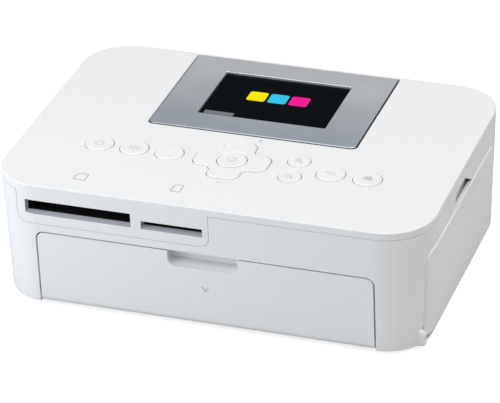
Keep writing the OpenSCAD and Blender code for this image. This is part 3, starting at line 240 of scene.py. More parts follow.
# The dish of a cap is this deep, and reaches out to this share of its radius
CAP_DISH = 0.08
DISH_R = 0.88
DISH_STEPS = (0.86, 0.7, 0.5, 0.3, 0.1, 0.001)
OK_R = 5.9
OK_PROUD = 0.1
OK_GAP = 0.35
BUTTON_GAP = 0.3
STEM_R = 1.6
PAD_HALF = 15.2
PAD_ARM = 6.5
PAD_FILLET = 3
PAD_CORNER_R = 4.3
PAD_CORNER_STEPS = 10
PAD_GAP = 0.4
PAD_SWELL = 0.13
KEYPAD_TOP = ROOF_Z - 3.9
SWITCH_H = 1.3
ACTUATOR_H = 0.2
BUTTON_TRAVEL = 0.4
FLANGE_Z = KEYPAD_TOP + SWITCH_H + ACTUATOR_H + BUTTON_TRAVEL + RUN_GAP + 0.35
FLANGE_T = 0.9
FLANGE_OUT = 0.9
# Narrower than a key's, so that it clears the roof as the pad rocks both ways at once
PAD_FLANGE_OUT = 0.6
RIB_Y = 8.1


def key_place(node):
    """Middle of a key and the radius of its cap."""
    low, high = node_box(node)
    return (low.x + high.x) / 2, (low.y + high.y) / 2, (high.x - low.x) / 2 - FLANGE_OUT


BUTTONS = {name: key_place(name + "_button")
           for name in ("power", "menu", "edit", "back", "print", "zoom_in", "zoom_out")}
pad_low, pad_high = node_box("direction_pad")
PAD_AT = ((pad_low.x + pad_high.x) / 2, (pad_low.y + pad_high.y) / 2)

# Bosses, feet and the openings at the back
BOSS_X = half_w(SEAM_Z) - WALL - 3.3
SHELL_BOSSES = [(sx * BOSS_X, y) for sx in (-1, 1) for y in (-30, 40)]
SHELL_BOSS_R = 3
SHELL_BOSS_Z = SEAM_Z - 4.2
LOWER_BOSS_R = 3.8
LOWER_BOSS_Z = SHELL_BOSS_Z - 4
KEYPAD_BOSSES = [(-62, -9), (-33.7, -9), (33.5, -9), (62, -9), (-20.5, -38.5), (20.5, -38.5)]
KEYPAD_BOSS_R = 2.2
KEYPAD_PILOT_R = 0.8
FLANGE_Y = (-33, 39)
FLANGE_X = 65
FLANGE_BOSS_R = 3
FLANGE_BOSS_H = 4
PILOT_R = 1.1
SCREW_R = 1.4
FOOT_AT = [(sx * (CORNER_X + 1), sy * (CORNER_Y + 1)) for sx in (-1, 1) for sy in (-1, 1)]
FOOT_R = 5
FOOT_SEAT = 0.8
usb_low, usb_high = node_box("usb_socket")
USB_GAP = 0.3
inlet_low, inlet_high = node_box("power_inlet")
INLET = ((inlet_low.x + inlet_high.x) / 2, inlet_high.z - 5.2)
INLET_R = 4.5
PAPER_Z = node_box("grip_roller")[1].z
EXIT_HALF = 54
EXIT_Z = PAPER_Z - 3.3
EXIT_TOP = PAPER_Z + 4.7
VENTS = 9
VENT_LEFT = 5
VENT_PITCH = 4.5
VENT_W = 2
VENT_H = 10
VENT_R = 0.99
VENT_Z = LOWER_TOP - 20.9
LEVER_AT = (69, -51.5)
LEVER_POST_R = 3
LEVER_STUD_R = 1.5


# ---------------- mesh tools

LATHE_STEPS = 64
SHARP_ANGLE = math.radians(28)


def new_object(name, data):
    """Object around a mesh, a lamp or a camera, linked to the scene."""
    obj = bpy.data.objects.new(name, data)
    bpy.context.scene.collection.objects.link(obj)
    return obj


def mesh_object(name, verts, faces):
    mesh = bpy.data.meshes.new(name)
    mesh.from_pydata([tuple(v) for v in verts], [], faces)
    mesh.validate()
    obj = new_object(name, mesh)
    tidy = bmesh.new()
    tidy.from_mesh(mesh)
    bmesh.ops.recalc_face_normals(tidy, faces=tidy.faces)
    tidy.to_mesh(mesh)
    tidy.free()
    return obj


def loft(name, rings):
    """Closed solid through rings of equally many points."""
    n = len(rings[0])
    verts = [p for ring in rings for p in ring]
    faces = []
    for k in range(len(rings) - 1):
        for i in range(n):
            j = (i + 1) % n
            faces.append((k * n + i, k * n + j, (k + 1) * n + j, (k + 1) * n + i))
    faces.append(tuple(reversed(range(n))))
    faces.append(tuple(range((len(rings) - 1) * n, len(rings) * n)))
    return mesh_object(name, verts, faces)


def prism(name, outline, axis, low, high):
    """Extrude a 2-D outline along an axis: along y the outline is in x and z, along x it is in y and z."""
    place = {"x": lambda p, t: (t, p[0], p[1]),
             "y": lambda p, t: (p[0], t, p[1]),
             "z": lambda p, t: (p[0], p[1], t)}[axis]
    return loft(name, [[place(p, t) for p in outline] for t in (low, high)])


def block(name, low, high):
    """Box between two corners."""
    outline = [(low[0], low[1]), (high[0], low[1]), (high[0], high[1]), (low[0], high[1])]
    return prism(name, outline, "z", low[2], high[2])


def arc(cx, cy, r, start, end, steps):
    angles = [math.radians(start + (end - start) * i / steps) for i in range(steps + 1)]
    return [(cx + r * math.cos(a), cy + r * math.sin(a)) for a in angles]


def circle(cx, cy, r, steps=48):
    return arc(cx, cy, r, 0, 360, steps)[:-1]


def round_rect(x0, y0, x1, y1, r, steps=8, r_top=None):
    """Rectangle with rounded corners; r_top is the radius of the two upper ones where it differs."""
    top = r if r_top is None else r_top
    return (arc(x1 - r, y0 + r, r, -90, 0, steps) + arc(x1 - top, y1 - top, top, 0, 90, steps)
            + arc(x0 + top, y1 - top, top, 90, 180, steps) + arc(x0 + r, y0 + r, r, 180, 270, steps))


def moved(outline, dx, dy):
    return [(x + dx, y + dy) for x, y in outline]


def bar(name, axis, low, high, at, r, steps=32):
    """Round bar along an axis, at a point in the two other coordinates."""
    return prism(name, circle(at[0], at[1], r, steps), axis, low, high)


def stack(name, outline, levels):
    """Solid through level outlines: levels says how far outline() grows each one, and how high it lies."""
    return loft(name, [[(x, y, z) for x, y in outline(grow)] for grow, z in levels])


def lathe(name, profile, at):
    """Turn a profile of (radius, z) about the vertical axis at a point in x and y."""
    return stack(name, lambda r: circle(at[0], at[1], r, LATHE_STEPS), profile)


def bake(obj):
    """Put the result of the modifiers into the mesh."""
    graph = bpy.context.evaluated_depsgraph_get()
    mesh = bpy.data.meshes.new_from_object(obj.evaluated_get(graph))
    obj.modifiers.clear()
    obj.data = mesh


def combine(obj, tools, operation):
    """Join ("UNION"), cut ("DIFFERENCE") or keep ("INTERSECT") with each tool in turn; the tools go."""
    for tool in tools:
        modifier = obj.modifiers.new("combine", "BOOLEAN")
        modifier.operation = operation
        modifier.solver = "EXACT"
        modifier.object = tool
    bake(obj)
    for tool in tools:
        bpy.data.objects.remove(tool)
    return obj


def join(obj, *tools):
    return combine(obj, tools, "UNION")


def cut(obj, *tools):
    return combine(obj, tools, "DIFFERENCE")


def keep(obj, tool):
    return combine(obj, [tool], "INTERSECT")


def round_edges(obj, width, where, segments=2):
    """Give a small radius to the sharp edges whose middle passes the test."""
    form = bmesh.new()
    form.from_mesh(obj.data)
    bmesh.ops.remove_doubles(form, verts=form.verts, dist=0.02)
    bmesh.ops.dissolve_degenerate(form, edges=form.edges, dist=0.01)
    edges = [edge for edge in form.edges
             if len(edge.link_faces) == 2 and edge.calc_face_angle(0) > SHARP_ANGLE
             and where((edge.verts[0].co + edge.verts[1].co) / 2)]
    bmesh.ops.bevel(form, geom=edges, offset=width, offset_type="OFFSET", segments=segments,
                    profile=0.5, affect="EDGES", clamp_overlap=False, harden_normals=False)
    form.to_mesh(obj.data)
    form.free()


def smooth(obj, angle=32):
    """Smooth shading that keeps sharp edges and flat faces true."""
    obj.data.shade_smooth()
    obj.data.set_sharp_from_angle(angle=math.radians(angle))
    modifier = obj.modifiers.new("normals", "WEIGHTED_NORMAL")
    modifier.keep_sharp = True
    modifier.weight = 60
    bake(obj)


def merge(name, parts):
    """One object out of several, with their materials."""
    form = bmesh.new()
    materials = []
    for part in parts:
        start = len(form.faces)
        form.from_mesh(part.data)
        form.faces.ensure_lookup_table()
        for face in form.faces[start:]:
            slot = part.data.materials[face.material_index] if part.data.materials else None
            if slot not in materials:
                materials.append(slot)
            face.material_index = materials.index(slot)
    mesh = bpy.data.meshes.new(name)
    form.to_mesh(mesh)
    form.free()
    for slot in materials:
        mesh.materials.append(slot)
    obj = new_object(name, mesh)
    for part in parts:
        bpy.data.objects.remove(part)
    return obj


def paint(obj, *materials):
    obj.data.materials.clear()
    for material in materials:
        obj.data.materials.append(material)


def finish_piece(obj, material, body, slot, *nodes):
    """Scale to metres, paint unless it is painted already, and hang on its body."""
    obj.data.transform(Matrix.Scale(MM, 4))
    if material is not None:
        paint(obj, material)
    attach(obj, body)
    if nodes:
        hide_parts(*nodes)


# ---------------- housing form


def housing_ring(inset, z):
    """Outline of the housing at height z, drawn in by inset."""
    r = CORNER_R - inset - SLOPE * (BODY_H - z)
    points = []
    for k, (sx, sy) in enumerate(((1, 1), (-1, 1), (-1, -1), (1, -1))):
        corner = arc(sx * CORNER_X, sy * CORNER_Y, r, 90 * k, 90 * k + 90, CORNER_STEPS)
        points += [(x, y, z) for x, y in corner]
    return points


def housing(name, inset, z0, z1, top_r=0.0, bottom_r=0.0):
    """The housing's form between two heights, with a rounding at its upper or lower edge."""
    rising = [90 * i / ROUND_STEPS for i in range(ROUND_STEPS + 1)]
    foot = quarter_round(bottom_r, reversed(rising)) if bottom_r else [(0, 0)]
    top = quarter_round(top_r, rising) if top_r else [(0, 0)]
    rings = [housing_ring(inset + extra, z0 + up) for extra, up in foot]
    rings += [housing_ring(inset + extra, z1 - down) for extra, down in top]
    return loft(name, rings)


def apron_outline(grow):
    return round_rect(APRON_LEFT - grow, APRON_Z - grow, APRON_RIGHT + grow, BODY_H + 20, APRON_R + grow)


def pad_outline(grow):
    """Four-way pad: round arms with a fillet between each two."""
    end = PAD_HALF + grow
    arm = PAD_ARM + grow
    r = PAD_CORNER_R + grow
    hollow = PAD_FILLET - grow
    quarter = (arc(end - r, arm - r, r, 0, 90, PAD_CORNER_STEPS)
               + arc(arm + hollow, arm + hollow, hollow, 270, 180, PAD_CORNER_STEPS)
               + arc(arm - r, end - r, r, 0, 90, PAD_CORNER_STEPS))
    points = []
    for k in range(4):
        turn = math.radians(90 * k)
        points += [(x * math.cos(turn) - y * math.sin(turn), x * math.sin(turn) + y * math.cos(turn))
                   for x, y in quarter]
    return moved(points, *PAD_AT)


def recess_outline(grow):
    """Opening of the display's tub in the top surface."""
    half = PANEL_W / 2 + PANEL_GAP + grow
    return round_rect(-half, PANEL_FRONT - PANEL_GAP - grow, half, RECESS_REAR + grow,
                      RECESS_R + grow, r_top=PANEL_REAR_R + grow)


def on_outside(point):
    """True near the drafted outer faces of the housing."""
    out_x = abs(point.x) - CORNER_X
    out_y = abs(point.y) - CORNER_Y
    corner_r = CORNER_R - SLOPE * (BODY_H - point.z)
    return (abs(point.x) > half_w(point.z) - SKIN or abs(point.y) > half_d(point.z) - SKIN
            or (out_x > 0 and out_y > 0 and math.hypot(out_x, out_y) > corner_r - SKIN))


# ---------------- materials

# The silver paint at the front and at the back edge of the display's frame; the lighter back is a painted
# reflection
SILVER_FRONT_PAINTED_SHADE = (0.58, 0.625, 0.69)
SILVER_BACK_PAINTED_REFLECTION = (0.86, 0.87, 0.895)
SCREEN_DARK = (0.0005, 0.001, 0.0016)
# Scales of the plastics' fine mottle and of its uneven gloss; coarser ones would show as patches
MOTTLE = 2600
GLOSS_MOTTLE = 3000


class Look:
    """A material under construction: its shader, and short ways to feed the shader."""

    def __init__(self, name):
        self.material = bpy.data.materials.new(name)
        self.material.use_nodes = True
        self.tree = self.material.node_tree
        self.shader = self.tree.nodes["Principled BSDF"]
        self.coords = self.add("ShaderNodeTexCoord").outputs["Object"]

    def add(self, kind, **settings):
        node = self.tree.nodes.new(kind)
        for key, value in settings.items():
            setattr(node, key, value)
        return node

    def link(self, output, socket):
        self.tree.links.new(output, socket)

    def feed(self, socket, value):
        """Set a socket to a number or a colour, or link an output to it."""
        if isinstance(value, tuple):
            socket.default_value = (*value, 1)
        elif isinstance(value, (int, float)):
            socket.default_value = value
        else:
            self.link(value, socket)

    def calculate(self, operation, *values):
        node = self.add("ShaderNodeMath", operation=operation)
        for socket, value in zip(node.inputs, values):
            self.feed(socket, value)
        return node.outputs["Value"]

    def put(self, **values):
        for key, value in values.items():
            self.shader.inputs[key.replace("_", " ")].default_value = value

    def noise(self, scale, detail=3.0, stretch=None):
        """Noise with features about 1 / scale of a metre wide; stretch squeezes its three axes."""
        source = self.coords
        if stretch:
            mapping = self.add("ShaderNodeMapping")
            mapping.inputs["Scale"].default_value = stretch
            self.link(source, mapping.inputs["Vector"])
            source = mapping.outputs["Vector"]
        node = self.add("ShaderNodeTexNoise")
        node.inputs["Scale"].default_value = scale
        node.inputs["Detail"].default_value = detail
        self.link(source, node.inputs["Vector"])
        return node.outputs["Fac"]

    def texture(self, kind, scale):
        node = self.add("ShaderNodeTex" + kind)
        node.inputs["Scale"].default_value = scale
        self.link(self.coords, node.inputs["Vector"])
        return node

    def place(self):
        """X, Y and Z on the object, in metres."""
        node = self.add("ShaderNodeSeparateXYZ")
        self.link(self.coords, node.inputs["Vector"])
        return node.outputs

    def ramp(self, value, start, end, low=0.0, high=1.0, **settings):
        """Low where the value is at start, high where it is at end."""
        node = self.add("ShaderNodeMapRange", **settings)
        for key, number in (("From Min", start), ("From Max", end), ("To Min", low), ("To Max", high)):
            node.inputs[key].default_value = number
        self.link(value, node.inputs["Value"])
        return node.outputs["Result"]

    def spread(self, noise, low, high):
        """Spread the usual values of a noise between low and high."""
        return self.ramp(noise, 0.3, 0.7, low, high)

    def blend(self, factor, first, second):
        """Mix of two colours; the numbered sockets of the mix node are its colour ones."""
        node = self.add("ShaderNodeMix", data_type="RGBA")
        for key, value in (("Factor", factor), (6, first), (7, second)):
            self.feed(node.inputs[key], value)
        return node.outputs[2]

    def colour(self, output):
        self.link(output, self.shader.inputs["Base Color"])

    def rough(self, output):
        self.link(output, self.shader.inputs["Roughness"])

    def bump(self, height, distance, strength):
        node = self.add("ShaderNodeBump")
        node.inputs["Strength"].default_value = strength
        node.inputs["Distance"].default_value = distance
        self.link(height, node.inputs["Height"])
        self.link(node.outputs["Normal"], self.shader.inputs["Normal"])


def shaded(colour, amount):
    return tuple(c * amount for c in colour)


def plastic(name, colour, low, high, coat=0.0, grain=6500, depth=2e-6, change=0.985):
    """Moulded plastic: a fine mottle, a roughness that varies with it and a fine moulded grain."""
    look = Look(name)
    look.put(IOR=1.5, Coat_Weight=coat, Coat_Roughness=0.12)
    look.colour(look.blend(look.noise(MOTTLE, 1), shaded(colour, change), colour))
    look.rough(look.spread(look.noise(GLOSS_MOTTLE, 1), low, high))
    look.bump(look.noise(grain, 1), depth, 0.3)
    return look.material


def metal(name, colour, low, high, stretch=(1, 1, 1)):
    """Metal: rolling or brushing lines along one axis, uneven roughness and a faint drift of shade."""
    look = Look(name)
    look.put(Metallic=1.0)
    lines = look.noise(900, 3, stretch)
    look.colour(look.blend(look.noise(40, 3), shaded(colour, 0.9), colour))
    look.rough(look.spread(lines, low, high))
    look.bump(lines, 1.5e-5, 0.3)
    return look.material


def silver_paint(name):
    """Satin silver paint with fine flakes, and a painted reflection that lightens it towards the back of
    the panel.
    """
    look = Look(name)
    look.put(Metallic=0.7, Coat_Weight=0.15, Coat_Roughness=0.2)
    # Painted reflection: the silver turns lighter from the front edge to the back edge
    depth = look.ramp(look.place()["Y"], PANEL_FRONT * MM, (PANEL_FRONT + PANEL_D) * MM,
                      interpolation_type="SMOOTHSTEP")
    silver = look.blend(depth, SILVER_FRONT_PAINTED_SHADE, SILVER_BACK_PAINTED_REFLECTION)
    flakes = look.noise(5200, 2)
    look.colour(look.blend(look.spread(flakes, 0.0, 0.06), silver, (1.0, 1.0, 1.0)))
    look.rough(look.spread(look.noise(60, 2), 0.34, 0.4))
    look.bump(flakes, 3e-6, 0.3)
    return look.material


def circuit_board(name):
    """Solder mask over straight copper tracks, with small bright pads."""
    look = Look(name)
    tracks = look.texture("Brick", 240)
    tracks.inputs["Mortar Size"].default_value = 0.05
    tracks.inputs["Color1"].default_value = (0.012, 0.11, 0.05, 1)
    tracks.inputs["Color2"].default_value = (0.018, 0.14, 0.065, 1)
    tracks.inputs["Mortar"].default_value = (0.03, 0.2, 0.09, 1)
    pads = look.texture("Voronoi", 210)
    spot = look.calculate("LESS_THAN", pads.outputs["Distance"], 0.16)
    look.colour(look.blend(spot, tracks.outputs["Color"], (0.55, 0.5, 0.4)))
    look.rough(look.spread(look.noise(300), 0.25, 0.45))
    look.bump(tracks.outputs["Fac"], 2e-5, 0.4)
    return look.material


def screen_picture(name):
    """Glossy black window over a dark picture: three rounded tiles in a row and a short grey bar."""
    look = Look(name)
    look.put(Specular_IOR_Level=0.03)
    look.rough(look.spread(look.noise(260, 2), 0.09, 0.12))
    place = look.place()

    def tile(x, y, half_x, half_y, r):
        """1 inside a rounded rectangle, in millimetres, with a soft edge."""
        away = []
        for axis, centre, half in (("X", x, half_x), ("Y", y, half_y)):
            offset = look.calculate("ABSOLUTE", look.calculate("SUBTRACT", place[axis], centre * MM))
            past = look.calculate("MAXIMUM", look.calculate("SUBTRACT", offset, (half - r) * MM), 0.0)
            away.append(look.calculate("POWER", past, 2.0))
        distance = look.calculate("SQRT", look.calculate("ADD", *away))
        return look.ramp(distance, (r + TILE_SOFT_EDGE) * MM, (r - TILE_SOFT_EDGE) * MM)

    picture = SCREEN_DARK
    for *form, tint in SCREEN_TILES:
        picture = look.blend(tile(*form), picture, tint)
    dots = look.blend(look.texture("Checker", 3600).outputs["Fac"], picture, (0.0, 0.0, 0.0))
    look.put(Base_Color=(0.0012, 0.0018, 0.0024, 1), Emission_Strength=1.0)
    look.link(look.blend(0.08, picture, dots), look.shader.inputs["Emission Color"])
    return look.material


WHITE = plastic("white_abs", (0.86, 0.865, 0.875), 0.26, 0.36, coat=0.12)
KEY_WHITE = plastic("key_abs", (0.87, 0.875, 0.885), 0.24, 0.32, coat=0.15)
LEGEND = plastic("pale_print", (0.5, 0.51, 0.54), 0.45, 0.55)
KEY_LEGEND = plastic("key_print", (0.54, 0.55, 0.58), 0.4, 0.5)
SILVER = silver_paint("silver_paint")
# Painted shadow: dark sides of the display's frame, for the shade in the gap around it
FRAME_SIDE_PAINTED_SHADOW = plastic("frame_side_painted_shadow", (0.13, 0.13, 0.14), 0.4, 0.5)
BLACK = plastic("black_plastic", (0.02, 0.02, 0.021), 0.4, 0.55)
# Painted shade: grey on the lead-ins of the card slots
SLOT_PAINTED_SHADE = plastic("slot_painted_shade", (0.42, 0.425, 0.47), 0.4, 0.5)
# Painted shade: grey in the engraved chevron of the front cover
CHEVRON_PAINTED_SHADE = plastic("chevron_painted_shade", (0.73, 0.74, 0.76), 0.35, 0.45)
GREY = plastic("grey_plastic", (0.5, 0.51, 0.53), 0.4, 0.5)
CASSETTE = plastic("cassette_plastic", (0.42, 0.43, 0.45), 0.35, 0.5)
NYLON = plastic("nylon", (0.72, 0.7, 0.62), 0.38, 0.5, grain=900, depth=2e-5)
RUBBER = plastic("rubber", (0.022, 0.022, 0.023), 0.72, 0.9, grain=1500, depth=5e-5)
ORANGE = plastic("orange_plastic", (0.72, 0.2, 0.02), 0.35, 0.45)
FILM = plastic("ribbon_film", (0.16, 0.02, 0.09), 0.12, 0.25, coat=0.4, grain=500, depth=1e-5, change=0.7)
CERAMIC = plastic("glazed_ceramic", (0.7, 0.67, 0.58), 0.12, 0.2, coat=0.5)
STEEL = metal("zinc_steel", (0.56, 0.57, 0.58), 0.25, 0.45, stretch=(0.08, 1, 1))
NICKEL = metal("nickel", (0.62, 0.61, 0.58), 0.18, 0.3, stretch=(1, 0.1, 1))
BRASS = metal("brass", (0.72, 0.5, 0.2), 0.22, 0.35)
ALUMINIUM = metal("aluminium", (0.72, 0.73, 0.74), 0.3, 0.45, stretch=(0.06, 1, 1))
BOARD = circuit_board("circuit_board")
SCREEN = screen_picture("screen")

NODE_LOOKS = {
    "white_key": KEY_WHITE, "white_shell": WHITE, "silver_frame": SILVER, "grey_plastic": GREY,
    "black_window": SCREEN, "display_metal": ALUMINIUM, "steel": STEEL, "circuit_board": BOARD,
    "socket_metal": NICKEL, "black_plastic": BLACK, "nylon": NYLON, "brass": BRASS, "rubber": RUBBER,
    "cassette_plastic": CASSETTE, "ribbon_film": FILM, "orange_lever": ORANGE,
    "ceramic_strip": CERAMIC, "heat_sink": ALUMINIUM,
}

# ---------------- upper shell


def hole_cutter(at, r, low):
    """Round hole with a small chamfer at the top surface."""
    return lathe("hole", [(r, low), (r, BODY_H - RIM), (r + RIM + 0.3, BODY_H + 0.3)], at)


def outline_cutter(outline, low):
    """Hole through the top surface with a small chamfer; outline(grow) gives its points."""
    return stack("opening", outline, ((0, low), (0, BODY_H - RIM), (RIM + 0.3, BODY_H + 0.3)))


def recess_undercut():
    """Widens the recess below its rim, so that the frame's front edge clears it as the display tilts."""
    levels = ((UNDERCUT, TUB_Z), (UNDERCUT, BODY_H - 1.4), (-0.1, BODY_H - 1.0))
    return stack("undercut", recess_outline, levels)


def slot_cutters(x, w, top, h, lead):
    """Straight throat of a card slot, and a lead-in that widens it at the face and at its left end."""
    face = -BODY_D / 2 - OVER
    drop = lead * (SLOT_LEAD_Y - face) / (SLOT_LEAD_Y + BODY_D / 2)
    profile = [(face, top + SLOT_LEAD_RISE), (face, top - h - drop),
               (SLOT_LEAD_Y, top - h), (SLOT_LEAD_Y, top)]
    return [block("throat", (x - w / 2, face, top - h), (x + w / 2, SLOT_BACK + OVER, top)),
            prism("lead", profile, "x", x - w / 2 - SLOT_LEAD_SIDE, x + w / 2)]


def slot_frame(x, w, top, h, lead):
    """Collar of a card slot behind the apron."""
    return block("slot_frame",
                 (x - w / 2 - SLOT_WALL, -half_d(top - h) + 1.2, top - h - lead - SLOT_FLOOR),
                 (x + w / 2 + SLOT_WALL, SLOT_BACK, top + SLOT_ROOF))


def near_slot(point, x, w, top, h, lead):
    """True in the throat or the lead-in of a card slot."""
    return abs(point.x - x) < w / 2 + 1 and top - h - lead - 0.3 < point.z < top + 0.6


def paint_throats(shell):
    """Painted shade of the deep slots: their throats are painted black behind a grey lead-in."""
    paint(shell, WHITE, BLACK, SLOT_PAINTED_SHADE)
    for face in shell.data.polygons:
        middle = face.center
        in_slot = any(near_slot(middle, **slot) for slot in (LARGE_SLOT, SMALL_SLOT))
        # Painted shade: black in the throats, grey on the lead-ins
        if in_slot and middle.y < SLOT_BACK + 1 and not on_outside(middle):
            behind = middle.y > SLOT_LEAD_Y + 0.2 and abs(face.normal.y) < 0.9
            face.material_index = 1 if behind else 2


def build_upper_shell():
    shell = housing("upper_shell_skin", 0, APRON_Z - OVER, BODY_H, top_r=TOP_EDGE_R)
    cut(shell, housing("inner", WALL, APRON_Z - 2 * OVER, ROOF_Z))
    region = block("region", (-BODY_W, -BODY_D, SEAM_Z), (BODY_W, BODY_D, BODY_H + 5))
    join(region, prism("apron", apron_outline(0), "y", -BODY_D, 0))
    keep(shell, region)
    tub = block("tub", (-TUB_HALF, PANEL_FRONT - PANEL_GAP - TUB_WALL, TUB_Z - TUB_FLOOR),
                (TUB_HALF, BODY_D, ROOF_Z + 0.5))
    keep(tub, housing("limit", 0, TUB_Z - TUB_FLOOR - OVER, BODY_H))
    adds = [tub]
    adds += [slot_frame(**slot) for slot in (LARGE_SLOT, SMALL_SLOT)]
    for s in (-1, 1):
        x, y, z = s * (TUB_HALF + 0.5), TILT_AT[0], TILT_AT[1] - 2.6
        adds.append(block("pin_pad", (x - 1.5, y - 2.5, z - 3), (x + 1.5, y + 2.5, z + 3)))
    adds += [bar("boss", "z", KEYPAD_TOP, ROOF_Z + 0.5, p, KEYPAD_BOSS_R) for p in KEYPAD_BOSSES]
    adds += [bar("boss", "z", SHELL_BOSS_Z, ROOF_Z + 0.5, p, SHELL_BOSS_R) for p in SHELL_BOSSES]
    join(shell, *adds)
    cuts = [outline_cutter(recess_outline, TUB_Z), recess_undercut()]
    for slot in (LARGE_SLOT, SMALL_SLOT):
        cuts += slot_cutters(**slot)
    cuts += [hole_cutter((x, y), r + BUTTON_GAP, SEAM_Z) for x, y, r in BUTTONS.values()]
    cuts.append(outline_cutter(lambda grow: pad_outline(PAD_GAP + grow), SEAM_Z))
    cuts += [bar("screw_hole", "z", KEYPAD_TOP - OVER, ROOF_Z - 0.5, p, KEYPAD_PILOT_R, 20)
             for p in KEYPAD_BOSSES]
    cuts += [bar("screw_hole", "z", SHELL_BOSS_Z - OVER, ROOF_Z - 0.5, p, PILOT_R, 20)
             for p in SHELL_BOSSES]
    cuts.append(bar("pin_hole", "x", -PANEL_W / 2 - 4.5, PANEL_W / 2 + 4.5, TILT_AT, TILT_PIN_R, 24))
    cut(shell, *cuts)
    # Stops on which the display's tray rests
    join(shell, *[block("stop", (s * STOP_X - 3, STOP_Y[0], TUB_Z - 0.1),
                        (s * STOP_X + 3, STOP_Y[1], PANEL_TOP - PANEL_T - 0.1)) for s in (-1, 1)])
    round_edges(shell, UPPER_EDGE_R, lambda p: p.z < BODY_H - 2 and on_outside(p))
    smooth(shell)
    paint_throats(shell)
    finish_piece(shell, None, "printer", "white_shell", "upper_shell")


# ---------------- lower shell


def lower_form(name):
    return housing(name, 0, FLOOR_Z, LOWER_TOP, bottom_r=SHELL_FOOT_R)


def front_opening():
    half = COVER_HALF + COVER_GAP
    return round_rect(-half, -20, half, COVER_TOP + COVER_GAP, COVER_R + COVER_GAP)


def side_outline(grow):
    r = SIDE_R + grow
    y0, y1 = SIDE_FRONT - grow, SIDE_REAR + grow
    z0, z1 = SIDE_BOTTOM - grow, SIDE_TOP + grow
    return ([(y0, z0), (y1, z0)] + arc(y1 - r, z1 - r, r, 0, 90, 12) + arc(y0 + r, z1 - r, r, 90, 180, 12))


def finger_notch():
    """The scoop over the side cover: it deepens downwards, and its ends slant."""
    x_top = half_w(NOTCH_TOP)
    y0, y1 = NOTCH_Y - NOTCH_W / 2, NOTCH_Y + NOTCH_W / 2
    deep = prism("deep", [(x_top - NOTCH_DEPTH, NOTCH_FLOOR), (BODY_W, NOTCH_FLOOR), (BODY_W, NOTCH_TOP),
                          (x_top - 0.4, NOTCH_TOP), (x_top - NOTCH_DEPTH, SIDE_TOP + NOTCH_STEP)],
                 "y", y0, y1)
    return keep(deep, prism("ends", [(y0, NOTCH_LOW), (y1, NOTCH_LOW), (y1 - NOTCH_REAR_SLANT, NOTCH_TOP),
                                     (y0 + NOTCH_FRONT_SLANT, NOTCH_TOP)], "x", CORNER_X, BODY_W))


def notch_walls():
    """Walls of the finger notch, and its floor behind the side cover's upper edge."""
    inner_x = half_w(SIDE_TOP) - WALL - NOTCH_DEPTH + 0.8
    y0, y1 = NOTCH_Y - NOTCH_W / 2 - NOTCH_WALL, NOTCH_Y + NOTCH_W / 2 + NOTCH_WALL
    walls = block("notch", (inner_x, y0, SIDE_TOP + COVER_GAP), (BODY_W / 2, y1, NOTCH_TOP + 1))
    join(walls, block("floor", (inner_x, y0, SIDE_TOP - 2.4),
                      (half_w(SIDE_TOP) - SIDE_T - COVER_GAP, y1, SIDE_TOP + 1)))
    return cut(walls, finger_notch())


def rear_round_rect(x0, z0, x1, z1, r):
    return prism("rear", round_rect(x0, z0, x1, z1, r, 6), "y", REAR_CUT_Y, BODY_D)


def side_lug(y):
    """Ear that carries one pin of the side cover: round on top, straight down to its foot, soft edges."""
    x, z = SIDE_AXIS
    rings = []
    for inset, depth in LUG_EDGE + [(i, LUG_T - d) for i, d in reversed(LUG_EDGE)]:
        r, foot = LUG_R - inset, LUG_FOOT + inset
        outline = arc(x, z, r, 0, 180, 20)
        outline += [(x - r, foot), (x + r - LUG_CORNER, foot), (x + r, foot + LUG_CORNER)]
        rings.append([(px, y + depth, pz) for px, pz in outline])
    return loft("lug", rings)


def cover_openings():
    """Openings of the two covers, with the room in which their lower edges swing."""
    return [prism("front", front_opening(), "y", -BODY_D, COVER_AXIS[0] + 4),
            bar("sweep", "x", -COVER_HALF - COVER_GAP, COVER_HALF + COVER_GAP, COVER_AXIS,
                COVER_SWEEP_R, 40),
            prism("side", side_outline(SIDE_GAP), "x", CORNER_X, BODY_W),
            bar("sweep", "y", SIDE_FRONT - SIDE_PLAY, SIDE_REAR + SIDE_PLAY, SIDE_AXIS, SIDE_SWEEP_R, 40),
            finger_notch()]


def rear_openings():
    """Paper slot, USB socket, power inlet and vents."""
    openings = [rear_round_rect(-EXIT_HALF, EXIT_Z, EXIT_HALF, EXIT_TOP, 1.5),
                rear_round_rect(usb_low.x - USB_GAP, usb_low.z - USB_GAP,
                                usb_high.x + USB_GAP, usb_high.z + USB_GAP, 0.8),
                bar("inlet", "y", REAR_CUT_Y, BODY_D, INLET, INLET_R, 40)]
    for i in range(VENTS):
        left = VENT_LEFT + VENT_PITCH * i
        openings.append(rear_round_rect(left, VENT_Z, left + VENT_W, VENT_Z + VENT_H, VENT_R))
    return openings


def lower_holes():
    """Holes for the hinge pins, the feet and the screws."""
    pin_r = HINGE_PIN_R + RUN_GAP
    holes = []
    for s in (-1, 1):
        middle = s * (COVER_HALF + 2.5)
        holes.append(bar("pin", "x", middle - 3.5, middle + 3.5, COVER_AXIS, pin_r))
    reach = SIDE_PIN_REACH + 0.2
    holes.append(bar("pin", "y", SIDE_FRONT - reach, SIDE_REAR + reach, SIDE_AXIS, pin_r))
    holes += [bar("foot", "z", FLOOR_Z - OVER, FLOOR_Z + FOOT_SEAT, p, FOOT_R) for p in FOOT_AT]
    holes += [bar("pilot", "z", FLOOR_TOP - 0.5, BODY_H, (s * FLANGE_X, y), PILOT_R, 20)
              for s in (-1, 1) for y in FLANGE_Y]
    holes += [bar("screw_hole", "z", LOWER_BOSS_Z - OVER, BODY_H, p, SCREW_R, 20) for p in SHELL_BOSSES]
    return holes


